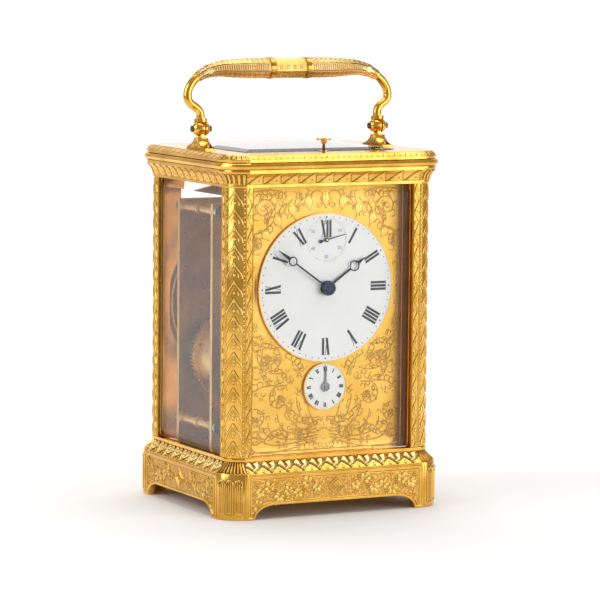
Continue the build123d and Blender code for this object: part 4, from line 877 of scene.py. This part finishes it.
def radial_bar(relief, chart, cz, angle, x0, x1, r0, r1, width):
    """Stroke of a numeral standing on its side of the dial; x is across the numeral."""
    a = radians(angle)
    right, up = (cos(a), -sin(a)), (sin(a), cos(a))

    def place(x, r):
        return (right[0] * x + up[0] * r, cz + right[1] * x + up[1] * r)
    half = width / 2
    relief.plate(chart, [place(x0 - half, r0), place(x0 + half, r0), place(x1 + half, r1),
                         place(x1 - half, r1)], 0.06)


GLYPHS = {
    "I": (1.36, [(0.0, 0.0, 1.0)]),
    "V": (2.2, [(0.10, -0.72, 1.0), (-0.10, 0.72, 0.22)]),
    "X": (2.3, [(0.75, -0.75, 1.0), (-0.75, 0.75, 0.22)]),
}


def numeral(relief, chart, cz, text, angle, r0, r1, thick, scale):
    """Roman numeral whose foot points to the dial's centre."""
    width = sum(GLYPHS[c][0] for c in text) * scale
    x = -width / 2
    for c in text:
        advance, strokes = GLYPHS[c]
        middle = x + advance * scale / 2
        for low, high, weight in strokes:
            radial_bar(relief, chart, cz, angle, middle + low * scale, middle + high * scale,
                       r0, r1, thick * weight)
        for r in (r0, r1 - 0.1 * scale):
            ends = [low if r == r0 else high for low, high, _ in strokes]
            for end, (_, _, weight) in zip(ends, strokes):
                radial_bar(relief, chart, cz, angle, middle + end * scale, middle + end * scale,
                           r, r + 0.1 * scale, thick * weight + 0.3 * scale)
        x += advance * scale


ROMAN = ("XII", "I", "II", "III", "IIII", "V", "VI", "VII", "VIII", "IX", "X", "XI")


def figures(name, text, size, x, z, face, material):
    """Printed figures of a subsidiary dial."""
    curve = bpy.data.curves.new(name, "FONT")
    curve.body = text
    curve.size = size * MM
    curve.extrude = 0.01 * MM
    curve.align_x, curve.align_y = "CENTER", "CENTER"
    shown = placed(name, curve)
    bpy.context.view_layer.update()
    mesh = bpy.data.meshes.new_from_object(shown.evaluated_get(bpy.context.evaluated_depsgraph_get()))
    bpy.data.objects.remove(shown)
    place = Matrix.Translation(Vector((x, -face - 0.02, z)) * MM)
    mesh.transform(place @ Matrix.Rotation(radians(90), 4, "X"))
    mesh.materials.clear()
    mesh.materials.append(material)
    piece = placed(name, mesh)
    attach(piece, "case")
    return piece


def dials():
    chart = wall(0, DIAL_FACE)
    sunk = wall(0, SECONDS_FACE)
    numerals = Relief()
    for hour, text in enumerate(ROMAN):
        surface = sunk if hour == 0 else chart
        numeral(numerals, surface, DIAL_Z, text, 30 * hour, 20.6, 27.6, 1.0, 1.0)
    for minute in range(60):
        big = minute % 5 == 0
        numerals.bead(chart, polar(DIAL_Z, 28.95, 6 * minute), 0.26 if big else 0.15, 0.03, segments=8)
    numerals.make("main_dial_numerals", INK, slot="enamel", smooth=False)
    marks = Relief()
    for second in range(60):
        long = second % 5 == 0
        inner, width = (8.3, 0.16) if long else (8.6, 0.11)
        radial_bar(marks, sunk, SECONDS_Z, 6 * second, 0, 0, inner, 9.0, width)
    marks.make("seconds_dial_marks", GREY_INK, slot="enamel", smooth=False)
    for k in range(1, 7):
        x, z = polar(SECONDS_Z, 7.0, 60 * k)
        figures(f"seconds_figure_{k}", str(10 * k), 1.9, x, z, SECONDS_FACE, GREY_INK)
    alarm = Relief()
    for hour, text in enumerate(ROMAN):
        numeral(alarm, chart, ALARM_Z, text, 30 * hour, 6.5, 8.3, 0.42, 0.34)
    for minute in range(48):
        radial_bar(alarm, chart, ALARM_Z, 7.5 * minute, 0, 0, 8.65, 8.95, 0.08)
    alarm.make("alarm_dial_numerals", INK, slot="enamel", smooth=False)


# ---- Handle: engraved facets on the grips ----------------------------------------------------
ANGLES = np.radians(np.linspace(0, GRIP_END, 60))
LENGTHS = np.concatenate([[0], np.cumsum(np.hypot(GRIP_CURVE[0] * np.diff(np.sin(ANGLES)),
                                                  GRIP_CURVE[1] * np.diff(np.cos(ANGLES))))])
GRIP_REACH = GRIP_STRAIGHT + LENGTHS[-1]


def grip_axis(u):
    """Place of the grip's axis and its upward normal, u along it from the middle of the handle."""
    along = np.abs(u)
    angle = np.interp(along - GRIP_STRAIGHT, LENGTHS, ANGLES)
    x = np.minimum(along, GRIP_STRAIGHT) + GRIP_CURVE[0] * np.sin(angle)
    z = GRIP_HEIGHT - GRIP_CURVE[1] * (1 - np.cos(angle))
    nx, nz = GRIP_CURVE[1] * np.sin(angle), GRIP_CURVE[0] * np.cos(angle)
    size = np.hypot(nx, nz)
    return np.sign(u) * x, z, np.sign(u) * nx / size, nz / size


def facet(k, radius):
    """One facet of the grip: u runs along it, v across it; radius(u) is across the corners."""
    phi = radians(45 * k)

    def chart(u, v, h):
        x, z, nx, nz = grip_axis(u)
        out = OCTAGON_FLAT * radius(u) + h
        y = out * cos(phi) - v * sin(phi)
        up = out * sin(phi) + v * cos(phi)
        x, z = x + up * nx, z + up * nz
        y, z = y * cos(LEAN) + z * sin(LEAN), -y * sin(LEAN) + z * cos(LEAN)
        return joined(x, y, PIVOT_Z + z)
    return chart


def grip_radius(u):
    curved = np.interp([8, 16, 24, 32, 40, GRIP_END], np.degrees(ANGLES), LENGTHS) + GRIP_STRAIGHT
    return GRIP * np.interp(np.abs(u), [0, 9.3, 18.0, 24.0, GRIP_STRAIGHT, *curved],
                            [1.0, 1.0, 0.98, 0.91, 0.81, 0.76, 0.70, 0.64, 0.58, 0.53, 0.49])


def handle_engraving():
    relief = Relief()
    for k in range(8):
        chart = facet(k, grip_radius)
        for side in (-1, 1):
            start, end = 9.8, GRIP_REACH - 0.9
            for edge in (-1, 1):
                xs = np.linspace(start, end, 24)
                vs = edge * (FACET * grip_radius(xs) - 0.32)
                relief.stroke(chart, np.stack([side * xs, vs], -1), 0.26, 0.13)
            if k % 2 == 0:
                count = 24
                for i in range(count):
                    x = start + 0.9 + (end - start - 9.0) * i / (count - 1)
                    half = FACET * float(grip_radius(x)) - 0.45
                    line = upright(side * x, -half, half, 5)
                    relief.stroke(chart, line, 0.62, 0.16)
                for turn, length in ((0, 5.6), (22, 3.2), (-22, 3.2)):
                    relief.leaf(chart, (side * (end - 6.6), 0), length, 1.3,
                                (0 if side > 0 else 180) + turn * side, 0.17, crease=0.4)
            else:
                count = 14
                for i in range(count):
                    x = start + 0.6 + (end - start - 2.2) * i / (count - 1)
                    size = float(grip_radius(x)) / GRIP
                    for way in (-1, 1):
                        relief.leaf(chart, (side * x, way * 0.1), 2.3 * size, 1.0 * size,
                                    (0 if side > 0 else 180) + way * side * 34, 0.17, crease=0.4)
        if k % 2 == 0:
            for x in (-4.6, -1.55, 1.55, 4.6):
                for turn in (45, 135, 225, 315):
                    relief.leaf(chart, (x, 0), 1.35, 0.7, turn, 0.16, crease=0.4)
                relief.bead(chart, (x, 0), 0.32, 0.2)
        else:
            for i in range(9):
                x = -6.4 + 1.6 * i
                relief.stroke(chart, upright(x, -1.1, 1.1, 5), 0.5, 0.15)
        for x in (-7.0, 7.0):
            relief.stroke(chart, upright(x, -1.5, 1.5, 5), 0.3, 0.15)
    relief.make("handle_engraving", GRIP_RELIEF, body="handle")


def pedestal_engraving():
    """Scalloped lines on the flared feet of the handle."""
    relief = Relief()
    for side in (-1, 1):
        for quarter in (1, 3):
            def face(u, v, h, x=side * PIVOT_X, way=1 if quarter == 1 else -1):
                return joined(x + way * (PEDESTAL + h), way * u, TOP + v)
            for edge in (-1, 1):
                sweep = bezier((edge * 7.6, 0.55), (edge * 4.6, 0.9), (edge * 2.6, 2.4), (edge * 1.3, 4.2))
                relief.stroke(face, sweep, 0.35, 0.14, taper=0.3)
                relief.leaf(face, (edge * 0.4, 0.6), 3.4, 1.2, 90 - edge * 32, 0.16)
            relief.leaf(face, (0, 0.5), 3.6, 1.3, 90, 0.2)
    relief.make("handle_pedestal_engraving", GILT_RELIEF)


def button_petals():
    """Petals on the repeat button's disc."""
    relief = Relief()
    low, high = (np.array(v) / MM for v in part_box("repeat_button"))
    cx, cy = (low[0] + high[0]) / 2, (low[1] + high[1]) / 2
    top = high[2] - 0.14

    def chart(u, v, h):
        return joined(cx + u, cy + v, top + h)
    petals, hub = 10, 0.25
    for i in range(petals):
        turn = 360 / petals * i
        foot = (hub * cos(radians(turn)), hub * sin(radians(turn)))
        relief.leaf(chart, foot, 2.6, 1.3, turn, 0.12, crease=0.3, fullest=0.65)
    relief.make("repeat_button_petals", GILT_RELIEF, body="repeat_button")


base_leaves()
cornice_leaves()
chamfer_engraving()
pillar_engraving()
plinth_flutes()
plinth_panels()
mask_engraving()
dials()
handle_engraving()
pedestal_engraving()
button_petals()


# ---- Stage, light and camera -----------------------------------------------------------------
CAMERA_ANGLES = (-27.0944, 6.055, -0.5261)    # azimuth, elevation and roll in degrees
CAMERA_PLACE = (-0.6283, -1.2382, 0.2305)
CAMERA_LENS = 201.516
FLOOR_TURN = -27.0


def studio():
    """Pale paper floor that curves up behind the clock, square to the camera."""
    material, nodes, links, shader = new_material("studio_paper")
    shade = noise(nodes, links, 3.0, 2.0)
    links.new(ramp(nodes, links, shade, [(0.3, (0.90, 0.90, 0.90)), (0.7, (0.92, 0.92, 0.92))]),
              shader.inputs["Base Color"])
    shader.inputs["Roughness"].default_value = 0.9
    near, bend, radius, half_width, height = -2.2, 1.3, 0.8, 3.2, 3.0
    profile_points = [(near, 0.0), (bend, 0.0)]
    for a in np.radians(range(10, 91, 10)):
        profile_points.append((bend + radius * sin(a), radius - radius * cos(a)))
    profile_points.append((bend + radius, height))
    points = [(x, y, z) for y, z in profile_points for x in (-half_width, half_width)]
    faces = [(2 * i, 2 * i + 1, 2 * i + 3, 2 * i + 2) for i in range(len(profile_points) - 1)]
    mesh = bpy.data.meshes.new("studio_floor")
    mesh.from_pydata(points, [], faces)
    mesh.polygons.foreach_set("use_smooth", [True] * len(faces))
    mesh.materials.append(material)
    floor = placed("studio_floor", mesh)
    floor.rotation_euler[2] = radians(FLOOR_TURN)


def softbox(name, place, size, power, target=(0, 0, 0.09)):
    lamp = bpy.data.lights.new(name, "AREA")
    lamp.shape = "RECTANGLE"
    lamp.size, lamp.size_y = size
    lamp.energy = power
    piece = placed(name, lamp)
    piece.location = place
    piece.rotation_euler = (Vector(target) - Vector(place)).to_track_quat("-Z", "Y").to_euler()


def lights():
    world = bpy.data.worlds.new("studio")
    bpy.context.scene.world = world
    world.use_nodes = True
    background = world.node_tree.nodes["Background"]
    background.inputs["Color"].default_value = (1.0, 0.985, 0.96, 1.0)
    background.inputs["Strength"].default_value = 0.42
    softbox("softbox_right", (1.0, -1.5, 0.30), (1.3, 0.9), 8.6)
    softbox("softbox_left", (-1.5, 0.1, 0.9), (1.0, 1.2), 11.5)
    softbox("softbox_top", (0.25, -0.1, 1.7), (1.4, 1.4), 12.0)
    softbox("softbox_backdrop", (0.1, 1.0, 2.0), (2.0, 1.0), 22.0, target=(1.0, 2.0, 0.5))


def camera():
    azimuth, elevation, roll = (radians(v) for v in CAMERA_ANGLES)
    back = Vector((sin(azimuth) * cos(elevation), -cos(azimuth) * cos(elevation),
                   sin(elevation)))
    right = Vector((cos(azimuth), sin(azimuth), 0))
    up = back.cross(right)
    right, up = (right * cos(roll) - up * sin(roll), right * sin(roll) + up * cos(roll))
    data = bpy.data.cameras.new("camera")
    data.lens = CAMERA_LENS
    data.sensor_width = 36
    data.clip_start, data.clip_end = 0.05, 20
    piece = placed("camera", data)
    place = Matrix((right, up, back)).transposed().to_4x4()
    place.translation = Vector(CAMERA_PLACE)
    piece.matrix_world = place
    bpy.context.scene.camera = piece


studio()
lights()
camera()
bpy.context.scene.view_settings.view_transform = "Standard"
